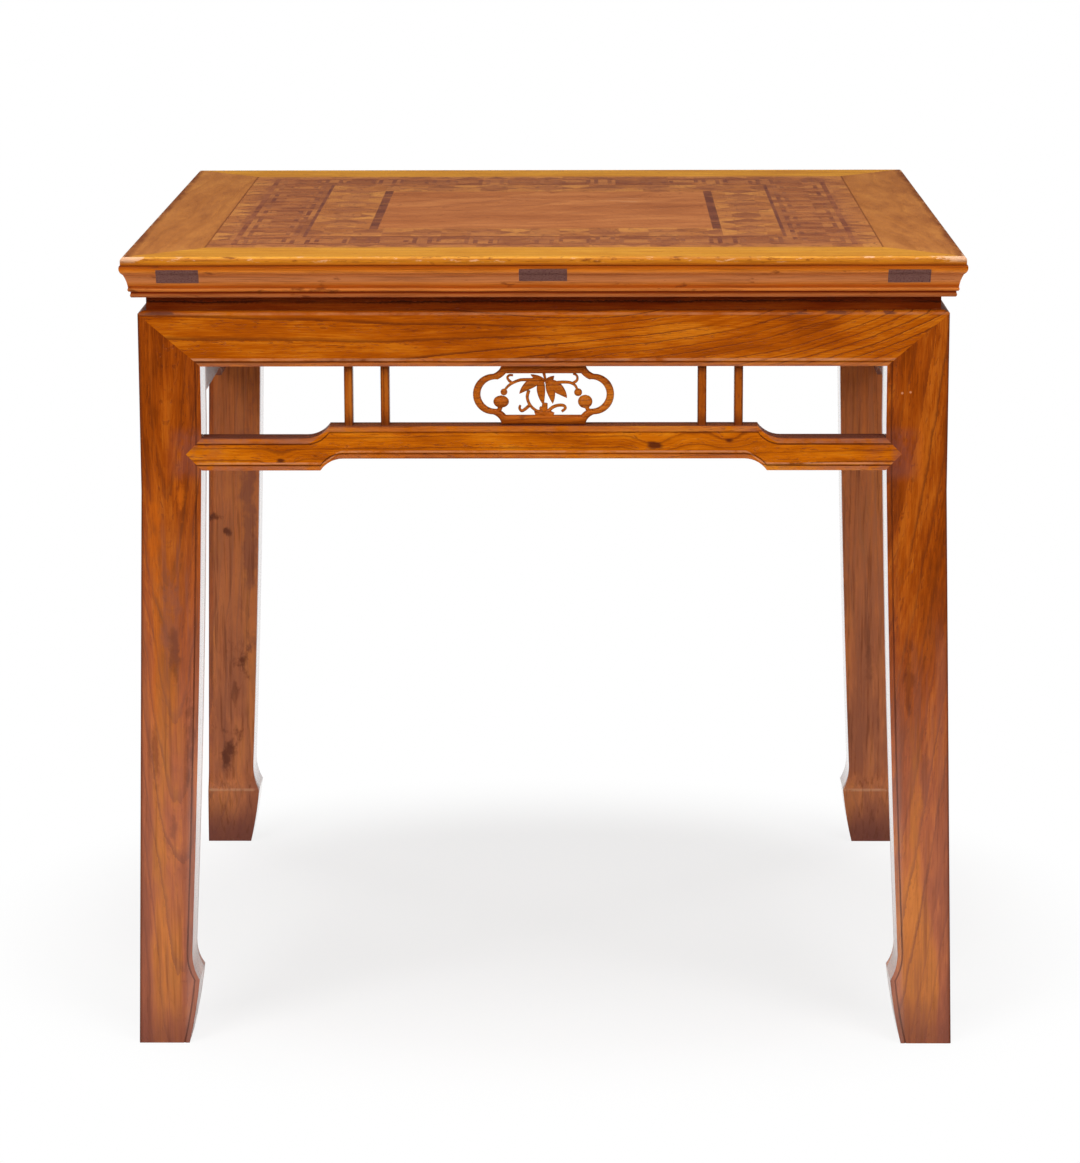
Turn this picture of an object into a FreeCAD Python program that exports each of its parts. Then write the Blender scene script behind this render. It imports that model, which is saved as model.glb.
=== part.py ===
import FreeCAD, Part
import math
import os

# A square "eight immortals" table in elm: a waisted, corner-leg table with horse-hoof feet.
#
# Millimetres. X runs along the front, Y from front to back, Z up; the origin is on the floor under the middle.
# Each side has the same pieces, turned a quarter about Z: waist board, apron, humpback stretcher, four struts
# and a pierced medallion, between two legs. The top is a mitred frame round a ground panel, which carries the
# parquetry and hangs on three dovetailed braces.

# --- overall ---
table_width = 920.0  # across the moulded edge of the top, both ways
table_height = 890.0
fit_gap = 0.15  # between the cheeks of a tenon, tongue or dovetail and their sockets

# --- top frame, its moulded edge from the top face down ---
frame_width = 87.0  # of a frame board, seen from above
frame_thick = 45.2
frame_arris = 4.5  # rounding of the upper edge
lip_set_back = 1.5  # of the upper lip behind the widest line
lip_drop = 9.1  # from the top face to the scored line under the lip
moulding_score = 0.9  # scored line between two mouldings
ovolo_radius = 8.0
ovolo_rise = 2.5  # of the round above the widest line
ovolo_fall = 6.6  # and below it
face_set_back = 9.0  # of the long hollow face at its foot
face_hollow = 0.8
small_bead = 4.0  # height of the bead under the face
bead_swell = 0.6  # how far a bead of the edge stands out
foot_quirk = 2.3  # height of the recess over the lowest bead
foot_bead = 4.3
foot_set_back = 11.4

# --- joints of the top ---
corner_tenon_width = 46.0  # of the end board's tenon through the long board
corner_tenon_thick = 15.0
corner_tenon_inset = 1.0  # from the end board's inner edge
corner_tenon_drop = 1.0  # below the underside of the panel
brace_width = 60.0
brace_height = 24.0
brace_tenon_width = 52.0  # through tenon of the middle brace
brace_tenon_thick = 14.0
brace_spacing = 205.0
blind_tenon_length = 30.0  # of the two side braces
blind_tenon_width = 36.0
dovetail_height = 4.0
dovetail_head = 34.0
dovetail_root = 26.0

# --- panel and parquetry, from the frame inwards ---
ground_thick = 10.0
parquetry_thick = 3.0
tongue_thick = 6.0
tongue_length = 9.0
tongue_play = 2.0  # left at the bottom of the groove, for the panel to swell
tooth_band = 25.0
tooth_count = 21  # along a side
tooth_height = 21.0
border_line = 6.0
fret_band = 69.0
string_line = 4.0
brocade_squares = 8  # along a side
field_bar = 10.0  # the dark bars left and right of the field, and the pale strips at its front and back

# --- legs ---
top_overhang = 17.4  # of the top beyond the legs
corner_round = 2.0  # of the outer arris
leg_lean = 14.4  # how far the outer faces lean out at the floor
lean_start = 630.0  # height below which they lean
leg_width = 67.5
leg_taper_start = 700.0  # height where the inner faces begin to draw in
leg_taper_curve = 0.32  # share of the taper that is reached half way down
ankle_width = 59.0
ankle_height = 104.0
hoof_width = 67.5
hoof_height = 73.0
foot_width = 56.5
hoof_belly = 1.2  # outward bow of the hoof below its tip
hoof_hollow = 2.2  # inward bow of the hoof above its tip
bead_width = 4.6
bead_line = 1.8  # width of the scored line behind a bead
bead_depth = 1.0
leg_tenon_width = 15.0
leg_tenon_thick = 11.0
leg_tenon_edge = 3.5  # from the post's faces
leg_tenon_clear = 0.6  # left under the through tenon above it

# --- waist and aprons ---
waist_height = 15.5
waist_set_back = 9.0
waist_tongue = 5.0  # length of the tongue in the apron
waist_tongue_thick = 8.0
apron_height = 61.3
apron_thick = 26.0
shoulder_drop = 3.5  # height of the shoulder from the waist down to the apron's face
shoulder_swell = 0.8  # outward bow of that shoulder
key_height = 30.0  # of the dovetail key that hangs the apron on the leg
key_root = 9.0
key_head = 14.0
key_depth = 7.0

# --- stretchers and frieze ---
frieze_height = 66.4  # from the stretcher's crown up to the apron
stretcher_height = 35.8
crown_bead = 5.8  # of its upper edge; the lower one has the legs' bead
stretcher_thick = 28.0
hump_rise = 13.2
hump_half = 235.0  # from the middle to the shoulder of the hump, along the top
hump_run = 25.0  # length of the rise
hump_lag = 15.0  # how much further in the underside rises
lip_thick = 8.0  # of the stretcher's pointed shoulder over the leg
point_reach = 17.5  # of that point past the leg's inner edge
stretcher_tenon_length = 30.0
stretcher_tenon_height = 20.0
stretcher_tenon_thick = 10.0
frieze_set_back = 2.0  # of struts and medallions behind the middle of the stretcher's thickness
strut_width = 9.5
strut_depth = 17.0
strut_ease = 1.0  # of its front arrises
strut_inset = 21.3  # of the outer strut's middle from the hump's shoulder
strut_pair = 40.0  # between the two struts of a pair
strut_tenon_length = 6.0
strut_tenon_width = 5.0
strut_tenon_depth = 9.0

# --- medallions ---
medallion_width = 155.0
medallion_thick = 12.0
medallion_bar = 10.0  # height of its straight top and bottom
medallion_band = 8.4  # width of the ring at its side lobes
medallion_flat = 92.0  # length of the straight top and bottom
flat_inset = 4.4  # of the opening's straight side at each end
cusp_span = 112.0  # between the cusps, outside
cusp_inset = 9.5  # of the opening's cusps
lobe_height = 45.0  # of a side lobe, outside
lobe_inset = 6.0  # of the opening's lobe
cove_sag = 2.0  # hollow of the outline between flat and cusp
carving_thick = 9.0
vine_width = 2.8
gourd_radius = 7.6
bud_radius = 4.2
pin_width = 4.0
pin_length = 14.0
pin_spread = 32.0  # from the medallion's middle to each pin

# --- worked out from the sizes above ---
top_half = table_width / 2
panel_half = top_half - frame_width
frame_under = table_height - frame_thick
base_half = top_half - top_overhang
leg_inner = base_half - leg_width
post_face = base_half - apron_thick  # outer faces of the leg's post, behind the aprons
waist_thick = apron_thick - waist_set_back
apron_top = frame_under - waist_height
apron_foot = apron_top - apron_height
apron_brow = apron_top - shoulder_drop  # where the apron's flat face begins
apron_bead = bead_width * (apron_brow - apron_foot) / leg_width  # so that the beads meet on the mitre
crown_top = apron_foot - frieze_height
stretcher_top = crown_top - hump_rise
stretcher_foot = stretcher_top - stretcher_height
stretcher_middle = (stretcher_top + stretcher_foot) / 2
stretcher_depth = stretcher_thick / 2 - base_half
frieze_depth = stretcher_depth + frieze_set_back
strut_outer = hump_half - strut_inset
strut_places = (-strut_outer, strut_pair - strut_outer, strut_outer - strut_pair, strut_outer)
pin_places = (-pin_spread, pin_spread)
panel_face = table_height - parquetry_thick
panel_under = panel_face - ground_thick
tongue_foot = panel_under + (ground_thick - tongue_thick) / 2
corner_tenon_top = panel_under - corner_tenon_drop
leg_tenon_top = corner_tenon_top - corner_tenon_thick - leg_tenon_clear
tooth_inner = panel_half - tooth_band
fret_outer = tooth_inner - border_line
fret_inner = fret_outer - fret_band
brocade_outer = fret_inner - string_line
brocade_square = 2 * brocade_outer / brocade_squares
brocade_inner = brocade_outer - brocade_square
field_half = brocade_inner - field_bar

sides = ("front", "right", "back", "left")
corners = ("front_left", "front_right", "back_right", "back_left")
up = FreeCAD.Vector(0, 0, 1)


# --- small helpers ---
def vec(x, y, z=0.0):
    return FreeCAD.Vector(x, y, z)


def block(x0, x1, y0, y1, z0, z1):
    """A box between two corners."""
    return Part.makeBox(x1 - x0, y1 - y0, z1 - z0, vec(x0, y0, z0))


def turned(shape, quarters):
    """A copy of the shape, turned that many quarters about the table's middle."""
    made = shape.copy()
    made.rotate(vec(0, 0), up, 90.0 * quarters)
    return made


def mirrored_x(shape):
    return shape.mirror(vec(0, 0), vec(1, 0))


def mirrored_y(shape):
    return shape.mirror(vec(0, 0), vec(0, 1))


def across_corner(shape):
    """The shape on the front face of the front left leg, mirrored on to its left face."""
    return shape.mirror(vec(0, 0), vec(1, -1))


def chain(start, *steps):
    """A wire from start through steps: a point is a straight edge, a (middle, end) pair is an arc."""
    edges = []
    here = start
    for step in steps:
        if isinstance(step, tuple):
            middle, end = step
            edges.append(Part.Arc(here, middle, end).toShape())
        else:
            end = step
            edges.append(Part.LineSegment(here, end).toShape())
        here = end
    return Part.Wire(edges)


def closed_by_mirror(wire):
    """A closed wire from one that starts and ends on X = 0, joined to its mirror image."""
    halves = wire.Edges + [mirrored_x(edge) for edge in wire.Edges]
    return Part.Wire(Part.__sortEdges__(halves))


def slab(wire, depth, y=0.0):
    """A solid on a closed wire in the X-Z plane, from y to that depth behind it."""
    placed = wire.copy()
    placed.translate(vec(0, y))
    return Part.Face(placed).extrude(vec(0, depth))


def plan_slab(points, z0, thick):
    """A flat piece of that thickness on a polygon seen from above."""
    outline = [vec(x, y, z0) for x, y in points]
    return Part.Face(Part.makePolygon(outline + outline[:1])).extrude(vec(0, 0, thick))


def bowed(a, b, bow):
    """The middle of an arc from a to b in the X-Z plane, bowed to the right of the way by that much."""
    run = b - a
    right = vec(run.z, 0, -run.x).normalize()
    return (a + b) * 0.5 + right * bow


def level_bow(run, rise):
    """The bow of an arc over that run and rise which is level at one end."""
    return math.hypot(run, rise) / 2 * math.tan(math.atan2(rise, run) / 2)


def corner_wedge():
    """The quarter of the plan in front of both diagonals, which mitres a front piece at both ends."""
    return plan_slab([(0, 0), (-table_width, -table_width), (table_width, -table_width)], 0, table_height + 1)


def save(name, *solids):
    """Writes one node, as one solid or as a group of separate ones."""
    shape = solids[0] if len(solids) == 1 else Part.makeCompound(list(solids))
    shape.exportStep(os.path.join("parts", name + ".step"))


# --- top frame ---
def edge_profile():
    """The front board's section at x = 0: y inwards from the widest line, z from the top face down."""
    front = -top_half
    lip = front + lip_set_back
    lip_foot = table_height - lip_drop
    widest = lip_foot - moulding_score - ovolo_rise
    ovolo_foot = widest - ovolo_fall
    face_top = ovolo_foot - moulding_score
    quirk_foot = frame_under + foot_bead
    bead_foot = quirk_foot + foot_quirk
    face_foot = bead_foot + small_bead
    face_end = front + face_set_back
    foot_end = front + foot_set_back
    arris_dip = frame_arris * (1 - math.sqrt(0.5))

    def at(y, z):
        return vec(0, y, z)

    def on_ovolo(height):
        return front + ovolo_radius - math.sqrt(ovolo_radius ** 2 - height ** 2)

    face_start = on_ovolo(ovolo_fall) + moulding_score
    face_middle = at((face_start + face_end) / 2 + face_hollow, (face_top + face_foot) / 2)
    return chain(
        at(lip + frame_arris, table_height),
        (at(lip + arris_dip, table_height - arris_dip), at(lip, table_height - frame_arris)),
        at(lip, lip_foot),
        at(lip + moulding_score, lip_foot - moulding_score / 2),
        at(on_ovolo(ovolo_rise), widest + ovolo_rise),
        (at(front, widest), at(on_ovolo(ovolo_fall), ovolo_foot)),
        at(face_start, face_top),
        (face_middle, at(face_end, face_foot)),
        (at(face_end - bead_swell, face_foot - small_bead / 2), at(face_end + bead_swell, bead_foot)),
        at(foot_end, bead_foot),
        at(foot_end, quirk_foot),
        (at(foot_end - bead_swell, quirk_foot - foot_bead / 2), at(foot_end + bead_swell, frame_under)),
        at(front + frame_width, frame_under),
        at(front + frame_width, table_height),
        at(lip + frame_arris, table_height),
    )


def moulded_length():
    """The moulding's section along the whole front, with square ends."""
    wire = edge_profile()
    wire.translate(vec(-top_half, 0))
    return Part.Face(wire).extrude(vec(table_width, 0))


def frame_board():
    """One mitred board at the front, with its groove for the panel's tongue."""
    board = moulded_length().common(corner_wedge())
    groove = block(-top_half, top_half, -panel_half - tongue_length - tongue_play, -panel_half,
                   tongue_foot - fit_gap, tongue_foot + tongue_thick + fit_gap)
    return board.cut(groove)


def corner_tenon(gap):
    """The left end board's front tenon, grown by a gap all round."""
    inner = -panel_half - corner_tenon_inset
    return block(inner - corner_tenon_width - gap, inner + gap, -top_half - gap, -panel_half,
                 corner_tenon_top - corner_tenon_thick - gap, corner_tenon_top + gap)


def leg_tenons(gap):
    """The two tenons on the front left leg's post, grown by a gap: one for each board of the corner."""
    near = leg_tenon_edge - post_face
    far = -leg_inner - leg_tenon_edge
    top = leg_tenon_top + gap
    into_long_board = block(far - leg_tenon_width - gap, far + gap, near - gap, near + leg_tenon_thick + gap,
                            frame_under, top)
    return [into_long_board, across_corner(into_long_board)]


def brace_tenon(gap, width, length):
    """A brace's front tenon in the middle, grown by a gap."""
    half = width / 2 + gap
    return block(-half, half, -panel_half - length - gap, -panel_half,
                 panel_under - brace_tenon_thick - gap, panel_under + gap)


def at_side_braces(shape):
    """A shape at the middle brace, repeated at the two side ones."""
    return [shape.translated(vec(x, 0)) for x in (-brace_spacing, brace_spacing)]


def long_board():
    """The front board, with mortises for the end boards, the braces and two legs."""
    sockets = [corner_tenon(fit_gap)] + leg_tenons(fit_gap)
    sockets += [mirrored_x(socket) for socket in sockets]
    sockets.append(brace_tenon(fit_gap, brace_tenon_width, frame_width))
    sockets += at_side_braces(brace_tenon(fit_gap, blind_tenon_width, blind_tenon_length))
    return frame_board().cut(sockets).removeSplitter()


def end_board():
    """The left board, whose tenons run through both long boards and finish flush with the moulding."""
    tenon = corner_tenon(0).common(moulded_length())
    sockets = leg_tenons(fit_gap)
    sockets += [mirrored_y(socket) for socket in sockets]
    return turned(frame_board(), 3).fuse([tenon, mirrored_y(tenon)]).cut(sockets).removeSplitter()


# --- braces and panel ---
def dovetail(gap):
    """The ridge along a brace's top: narrow at the brace, wide in the panel."""
    root = dovetail_root / 2 + gap
    head = dovetail_head / 2 + gap
    top = panel_under + dovetail_height + gap
    section = chain(vec(-root, 0, panel_under), vec(root, 0, panel_under), vec(head, 0, top),
                    vec(-head, 0, top), vec(-root, 0, panel_under))
    return slab(section, 2 * panel_half, -panel_half)


def brace(tenon):
    """A brace in the middle, front to back, with its dovetail ridge and that tenon at each end."""
    half = brace_width / 2
    bar = block(-half, half, -panel_half, panel_half, panel_under - brace_height, panel_under)
    return bar.fuse([dovetail(0), tenon, mirrored_y(tenon)]).removeSplitter()


def ground_panel():
    """The solid panel under the parquetry: tongued all round, and grooved below for the braces."""
    half = panel_half
    reach = panel_half + tongue_length
    body = block(-half, half, -half, half, panel_under, panel_face)
    tongue = block(-reach, reach, -reach, reach, tongue_foot, tongue_foot + tongue_thick)
    slot = dovetail(fit_gap)
    return body.fuse(tongue).removeSplitter().cut([slot] + at_side_braces(slot))


# --- parquetry; each function makes the front of its band, to be turned round the four sides ---
def inlay(points):
    """One piece of parquetry, lying on the ground panel."""
    return plan_slab(points, panel_face, parquetry_thick)


def inlay_box(x0, x1, y0, y1):
    return inlay([(x0, y0), (x1, y0), (x1, y1), (x0, y1)])


def ring_side(outer, inner):
    """The front of a mitred ring."""
    return inlay([(-outer, -outer), (outer, -outer), (inner, -inner), (-inner, -inner)])


def saw_teeth():
    """The pale strip with its zigzag edge, and the dark teeth that fill the zigzag."""
    pitch = 2 * tooth_inner / tooth_count
    base = -tooth_inner
    tip = base - tooth_height
    starts = [base + i * pitch for i in range(tooth_count)]
    zigzag = [point for x in starts for point in ((x, base), (x + pitch / 2, tip))]
    strip = inlay([(panel_half, -panel_half), (-panel_half, -panel_half)] + zigzag + [(tooth_inner, base)])
    teeth = [inlay([(x, base), (x + pitch, base), (x + pitch / 2, tip)]) for x in starts]
    return strip, teeth


def brocade():
    """Squares cut corner to corner: pale towards the edge and the field, dark along the row."""
    pale, dark = [], []
    for i in range(brocade_squares - 1):
        x0 = i * brocade_square - brocade_outer
        x1 = x0 + brocade_square
        y0 = -brocade_outer
        y1 = -brocade_inner
        middle = ((x0 + x1) / 2, (y0 + y1) / 2)
        pale += [inlay([(x0, y0), (x1, y0), middle]), inlay([(x1, y1), (x0, y1), middle])]
        dark += [inlay([(x0, y0), middle, (x0, y1)]), inlay([(x1, y0), (x1, y1), middle])]
    return pale, dark


# --- legs ---
def outer_face(z):
    """How far from the middle a leg's outer faces stand at that height."""
    return base_half + leg_lean * max(0.0, 1 - z / lean_start)


def leg_outline(inset):
    """The front left leg's inner line seen from the front, from foot to top, drawn in by an inset."""

    def at(width, z):
        return vec(width - inset - outer_face(z), 0, z)

    foot = at(foot_width, 0)
    tip = at(hoof_width, hoof_height)
    ankle = at(ankle_width, ankle_height)
    shin = at(leg_width, leg_taper_start)
    taper = leg_taper_curve * (leg_width - ankle_width)
    half_way = at(leg_width - taper, (ankle_height + leg_taper_start) / 2)
    return [foot, (bowed(foot, tip, hoof_belly), tip), (bowed(tip, ankle, -hoof_hollow), ankle),
            (half_way, shin), at(leg_width, frame_under)]


def outer_line(depth):
    """The leg's outer line from top to foot, that deep in the wood."""
    return [vec(depth - outer_face(z), 0, z) for z in (frame_under, lean_start, 0)]


def front_slab(wire):
    """A solid on a closed wire, from in front of the leg back to its inner face."""
    front = -outer_face(0)
    return slab(wire, -leg_inner - front, front)


def leg_column():
    """The leg's square column with its hoof, as two crossed outlines."""
    line = leg_outline(0)
    front = front_slab(chain(*line, *outer_line(0), line[0]))
    return front.common(across_corner(front))


def leg_score():
    """The scored line behind the bead, as a thin curved sliver in the leg's front face."""
    outer = chain(*leg_outline(bead_width))
    inner = chain(*leg_outline(bead_width + bead_line))
    ends = [Part.LineSegment(a.Point, b.Point).toShape()
            for a, b in zip((outer.OrderedVertexes[0], outer.OrderedVertexes[-1]),
                            (inner.OrderedVertexes[0], inner.OrderedVertexes[-1]))]
    wire = Part.Wire(Part.__sortEdges__(outer.Edges + inner.Edges + ends))
    face, under = outer_line(0), outer_line(bead_depth)
    skin = front_slab(chain(*face, *reversed(under), face[0]))
    return front_slab(wire).common(across_corner(skin))


def arris_round():
    """What the softened outer arris takes off the front left corner: an upright length and a leaning one."""

    def sliver(out, z):
        touch = corner_round - out
        dip = corner_round * (1 - math.sqrt(0.5)) - out
        clear = -out - corner_round
        start = vec(touch, -out, z)
        return Part.Face(chain(start, (vec(dip, dip, z), vec(-out, touch, z)), vec(clear, touch, z),
                               vec(clear, clear, z), vec(touch, clear, z), start))

    upright = sliver(base_half, lean_start).extrude(vec(0, 0, frame_under - lean_start))
    leaning = sliver(outer_face(0), 0).extrude(vec(leg_lean, leg_lean, lean_start))
    return [upright, leaning]


def above_mitre():
    """The space over the front left leg's front mitre, as deep as the apron."""
    corner = vec(-base_half, 0, apron_brow)
    inner_foot = vec(-leg_inner, 0, apron_foot)
    inner_top = vec(-leg_inner, 0, frame_under)
    outer_top = vec(-base_half, 0, frame_under)
    return slab(chain(corner, inner_foot, inner_top, outer_top, corner), apron_thick, -base_half)


def hanging_key(gap):
    """The dovetail key on the post's front, over which the apron slides down."""
    middle = -(leg_inner + post_face) / 2
    root = key_root / 2 + gap
    head = key_head / 2 + gap
    face = -post_face
    front = face - key_depth - gap
    section = [(middle - root, face), (middle + root, face), (middle + head, front), (middle - head, front)]
    return plan_slab(section, apron_foot, key_height + gap)


def leg():
    """The front left leg: hoof, beads, mitred shoulders, post, hanging keys, tenons and stretcher sockets."""
    removed = [leg_score(), above_mitre()]
    column = leg_column().cut(removed + [across_corner(shape) for shape in removed])
    key = hanging_key(0)
    column = column.fuse([key, across_corner(key)] + leg_tenons(0))
    socket = stretcher_end(fit_gap)
    return column.cut([socket, across_corner(socket)] + arris_round()).removeSplitter()


# --- waist and aprons ---
def tongue_of_waist(gap):
    """The tongue under the front waist board, in the middle of its thickness."""
    middle = waist_set_back + waist_thick / 2 - base_half
    half = waist_tongue_thick / 2 + gap
    return block(-base_half, base_half, middle - half, middle + half, apron_top - waist_tongue - gap, apron_top)


def waist():
    """The front waist board, mitred at both ends and backed by the posts."""
    face = waist_set_back - base_half
    board = block(-base_half, base_half, face, face + waist_thick, apron_top, frame_under)
    return board.fuse(tongue_of_waist(0)).common(corner_wedge()).removeSplitter()


def apron():
    """The front apron: rounded shoulder, beaded foot, and ends mitred over both legs."""
    front = -base_half
    back = -post_face
    slope = math.hypot(waist_set_back, shoulder_drop)
    swell_y = front + waist_set_back / 2 - shoulder_swell * shoulder_drop / slope
    swell_z = apron_top - shoulder_drop / 2 + shoulder_swell * waist_set_back / slope
    section = chain(vec(front, back, apron_foot), vec(front, back, apron_top),
                    vec(front, front + waist_set_back, apron_top),
                    (vec(front, swell_y, swell_z), vec(front, front, apron_brow)),
                    vec(front, front, apron_foot), vec(front, back, apron_foot))
    rounds = arris_round()[:1]
    rounds += [mirrored_x(cutter) for cutter in rounds]
    board = Part.Face(section).extrude(vec(2 * base_half, 0)).common(corner_wedge()).cut(rounds)
    score_foot = apron_foot + apron_bead
    score = block(front, base_half, front, front + bead_depth, score_foot, score_foot + bead_line)
    shoulder = block(front, -leg_inner, front, back, apron_foot, apron_brow).cut(above_mitre())
    key = hanging_key(fit_gap)
    seats = [strut_tenon(x, fit_gap, apron_foot, 1) for x in strut_places]
    seats += [medallion_pin(x, fit_gap, apron_foot) for x in pin_places]
    ends = [shoulder, mirrored_x(shoulder), key, mirrored_x(key)]
    return board.cut([score, tongue_of_waist(fit_gap)] + ends + seats).removeSplitter()


# --- stretchers ---
def hump_line(side, inset=0.0, reach=0.0):
    """Right half of the stretcher's upper (1) or lower (-1) line, from the crown's end out to the leg.

    An inset draws the line in from that edge, and a reach carries it on past the leg's inner face."""
    half = hump_half if side > 0 else hump_half - hump_lag
    level = stretcher_top - inset if side > 0 else stretcher_foot + inset
    crown = vec(half, 0, level + hump_rise)
    low = vec(half + hump_run, 0, level)
    bow = side * level_bow(hump_run, hump_rise)
    return [crown, (bowed(crown, low, bow), low), vec(leg_inner + reach, 0, level)]


def humped_band(upper, lower):
    """The closed outline between two right halves and their mirror images."""
    over = chain(vec(0, 0, upper[0].z), *upper)
    under = chain(vec(0, 0, lower[0].z), *lower)
    end = Part.LineSegment(upper[-1], lower[-1]).toShape()
    return closed_by_mirror(Part.Wire(Part.__sortEdges__(over.Edges + [end] + under.Edges)))


def stretcher_point():
    """The pointed shoulder past the right end, in the stretcher's front face."""
    top = vec(leg_inner, 0, stretcher_top)
    tip = vec(leg_inner + point_reach, 0, stretcher_middle)
    foot = vec(leg_inner, 0, stretcher_foot)
    return slab(chain(top, tip, foot, top), lip_thick, -base_half)


def stretcher_tenon(gap):
    """The tenon past the right end, grown by a gap."""
    half_height = stretcher_tenon_height / 2 + gap
    half_thick = stretcher_tenon_thick / 2 + gap
    return block(leg_inner, leg_inner + stretcher_tenon_length + gap, stretcher_depth - half_thick,
                 stretcher_depth + half_thick, stretcher_middle - half_height, stretcher_middle + half_height)


def stretcher_end(gap):
    """What the left end of the front stretcher takes out of the leg: its point and its tenon."""
    return mirrored_x(stretcher_point().fuse(stretcher_tenon(gap)))


def stretcher():
    """The front humpback stretcher, beaded along both edges, with pointed shoulders and tenons."""
    bar = slab(humped_band(hump_line(1), hump_line(-1)), stretcher_thick, -base_half)
    ends = [stretcher_point(), stretcher_tenon(0)]
    bar = bar.fuse(ends + [mirrored_x(end) for end in ends])
    scores = []
    for side, bead in ((1, crown_bead), (-1, bead_width)):
        lines = [hump_line(side, inset, point_reach) for inset in (bead, bead + bead_line)]
        scores.append(slab(humped_band(*lines), bead_depth, -base_half))
    seats = [strut_tenon(x, fit_gap, crown_top, -1) for x in strut_places]
    seats += [medallion_pin(x, fit_gap, crown_top) for x in pin_places]
    return bar.cut(scores + seats).removeSplitter()


# --- struts ---
def strut_tenon(x, gap, seat, way):
    """A strut's stub tenon beyond its seat: way 1 up into the apron, -1 down into the stretcher."""
    end = seat + way * (strut_tenon_length + gap)
    half_width = strut_tenon_width / 2 + gap
    half_depth = strut_tenon_depth / 2 + gap
    return block(x - half_width, x + half_width, frieze_depth - half_depth, frieze_depth + half_depth,
                 min(seat, end), max(seat, end))


def strut(x):
    """One front strut, with eased front arrises and a stub tenon at each end."""
    left, right = x - strut_width / 2, x + strut_width / 2
    front, back = frieze_depth - strut_depth / 2, frieze_depth + strut_depth / 2
    eased = front + strut_ease
    section = [(left, back), (left, eased), (left + strut_ease, front), (right - strut_ease, front),
               (right, eased), (right, back)]
    bar = plan_slab(section, crown_top, frieze_height)
    return bar.fuse([strut_tenon(x, 0, apron_foot, 1), strut_tenon(x, 0, crown_top, -1)]).removeSplitter()


# --- medallions, drawn about their own middle ---
def medallion_pin(x, gap, seat):
    """One split bamboo pin across a seat, half in the medallion and half in what holds it."""
    half = pin_width / 2 + gap
    reach = pin_length / 2 + gap
    return block(x - half, x + half, frieze_depth - half, frieze_depth + half, seat - reach, seat + reach)


def begonia(share):
    """The begonia outline: share 0 is the ring's outside, 1 its opening."""
    flat = vec(medallion_flat / 2 - share * flat_inset, 0, frieze_height / 2 - share * medallion_bar)
    cusp = vec(cusp_span / 2 - share * cusp_inset, 0, lobe_height / 2 - share * lobe_inset)
    lobe = vec(medallion_width / 2 - share * medallion_band, 0)
    flat_below = vec(flat.x, 0, -flat.z)
    cusp_below = vec(cusp.x, 0, -cusp.z)
    right = chain(vec(0, 0, flat.z), flat, bowed(flat, cusp, cove_sag), cusp, (lobe, cusp_below),
                  bowed(cusp_below, flat_below, cove_sag), flat_below, vec(0, 0, -flat.z))
    return closed_by_mirror(right)


def spot(u, w):
    """A place in the medallion: u and w run from -100 to 100 across its width and its height."""
    return vec(u / 100 * medallion_width / 2, 0, w / 100 * frieze_height / 2)


def facets(*places):
    """A closed outline with straight sides through places in the medallion."""
    points = [spot(u, w) for u, w in places]
    return chain(points[0], *points[1:], points[0])


def vine(width, *places):
    """A tendril of that width, in straight stretches from place to place."""
    points = [spot(u, w) for u, w in places]
    left, right = [], []
    for before, here, after in zip(points[:1] + points, points, points[1:] + points[-1:]):
        along = (after - before).normalize()
        across = vec(-along.z, 0, along.x) * (width / 2)
        left.append(here + across)
        right.insert(0, here - across)
    return chain(left[0], *left[1:], *right, left[0])


def fruit(u, w, radius):
    """An eight-sided disc for one swelling of a gourd."""
    turns = [math.radians(22.5 + 45 * i) for i in range(8)]
    points = [spot(u, w) + vec(math.cos(turn), 0, math.sin(turn)) * radius for turn in turns]
    return chain(points[0], *points[1:], points[0])


def carving():
    """The gourd vine: a hanging leaf, tendrils, two double gourds and the root below."""
    leaf = facets((0, 64), (14, 53), (9, 35), (33, -12), (13, 3), (12, -28), (7, -10), (2, -34), (-3, 0),
                  (-33, 1), (-9, 33), (-17, 58))
    root = facets((-9, -78), (-3, -24), (6, -24), (11, -78))
    stems = [vine(vine_width, (0, 80), (0, 45)),
             vine(vine_width, (-10, 45), (-35, 40), (-50, 25), (-56, 4)),
             vine(vine_width, (8, 35), (35, 35), (46, 23), (50, 3)),
             vine(vine_width, (-60, -26), (-68, -58)),
             vine(vine_width, (59, -26), (67, -58)),
             vine(vine_width, (-20, 2), (-22, -40), (-2, -62)),
             vine(vine_width, (4, -58), (15, -39), (30, -46))]
    gourds = [fruit(-60, -26, gourd_radius), fruit(59, -26, gourd_radius),
              fruit(-56, 4, bud_radius), fruit(50, 3, bud_radius)]
    return [leaf, root] + stems + gourds


def medallion():
    """The front medallion: a begonia ring round the pierced vine, drilled for its pins."""
    front = frieze_depth - medallion_thick / 2
    carving_front = frieze_depth - carving_thick / 2
    ring = slab(begonia(0), medallion_thick, front).cut(slab(begonia(1), medallion_thick, front))
    pieces = [slab(wire, carving_thick, carving_front) for wire in carving()]
    vines = pieces[0].fuse(pieces[1:]).common(slab(begonia(0.5), medallion_thick, front))
    whole = ring.fuse(vines).removeSplitter()
    whole.translate(vec(0, 0, (apron_foot + crown_top) / 2))
    return whole.cut([medallion_pin(x, fit_gap, seat) for x in pin_places for seat in (apron_foot, crown_top)])


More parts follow.
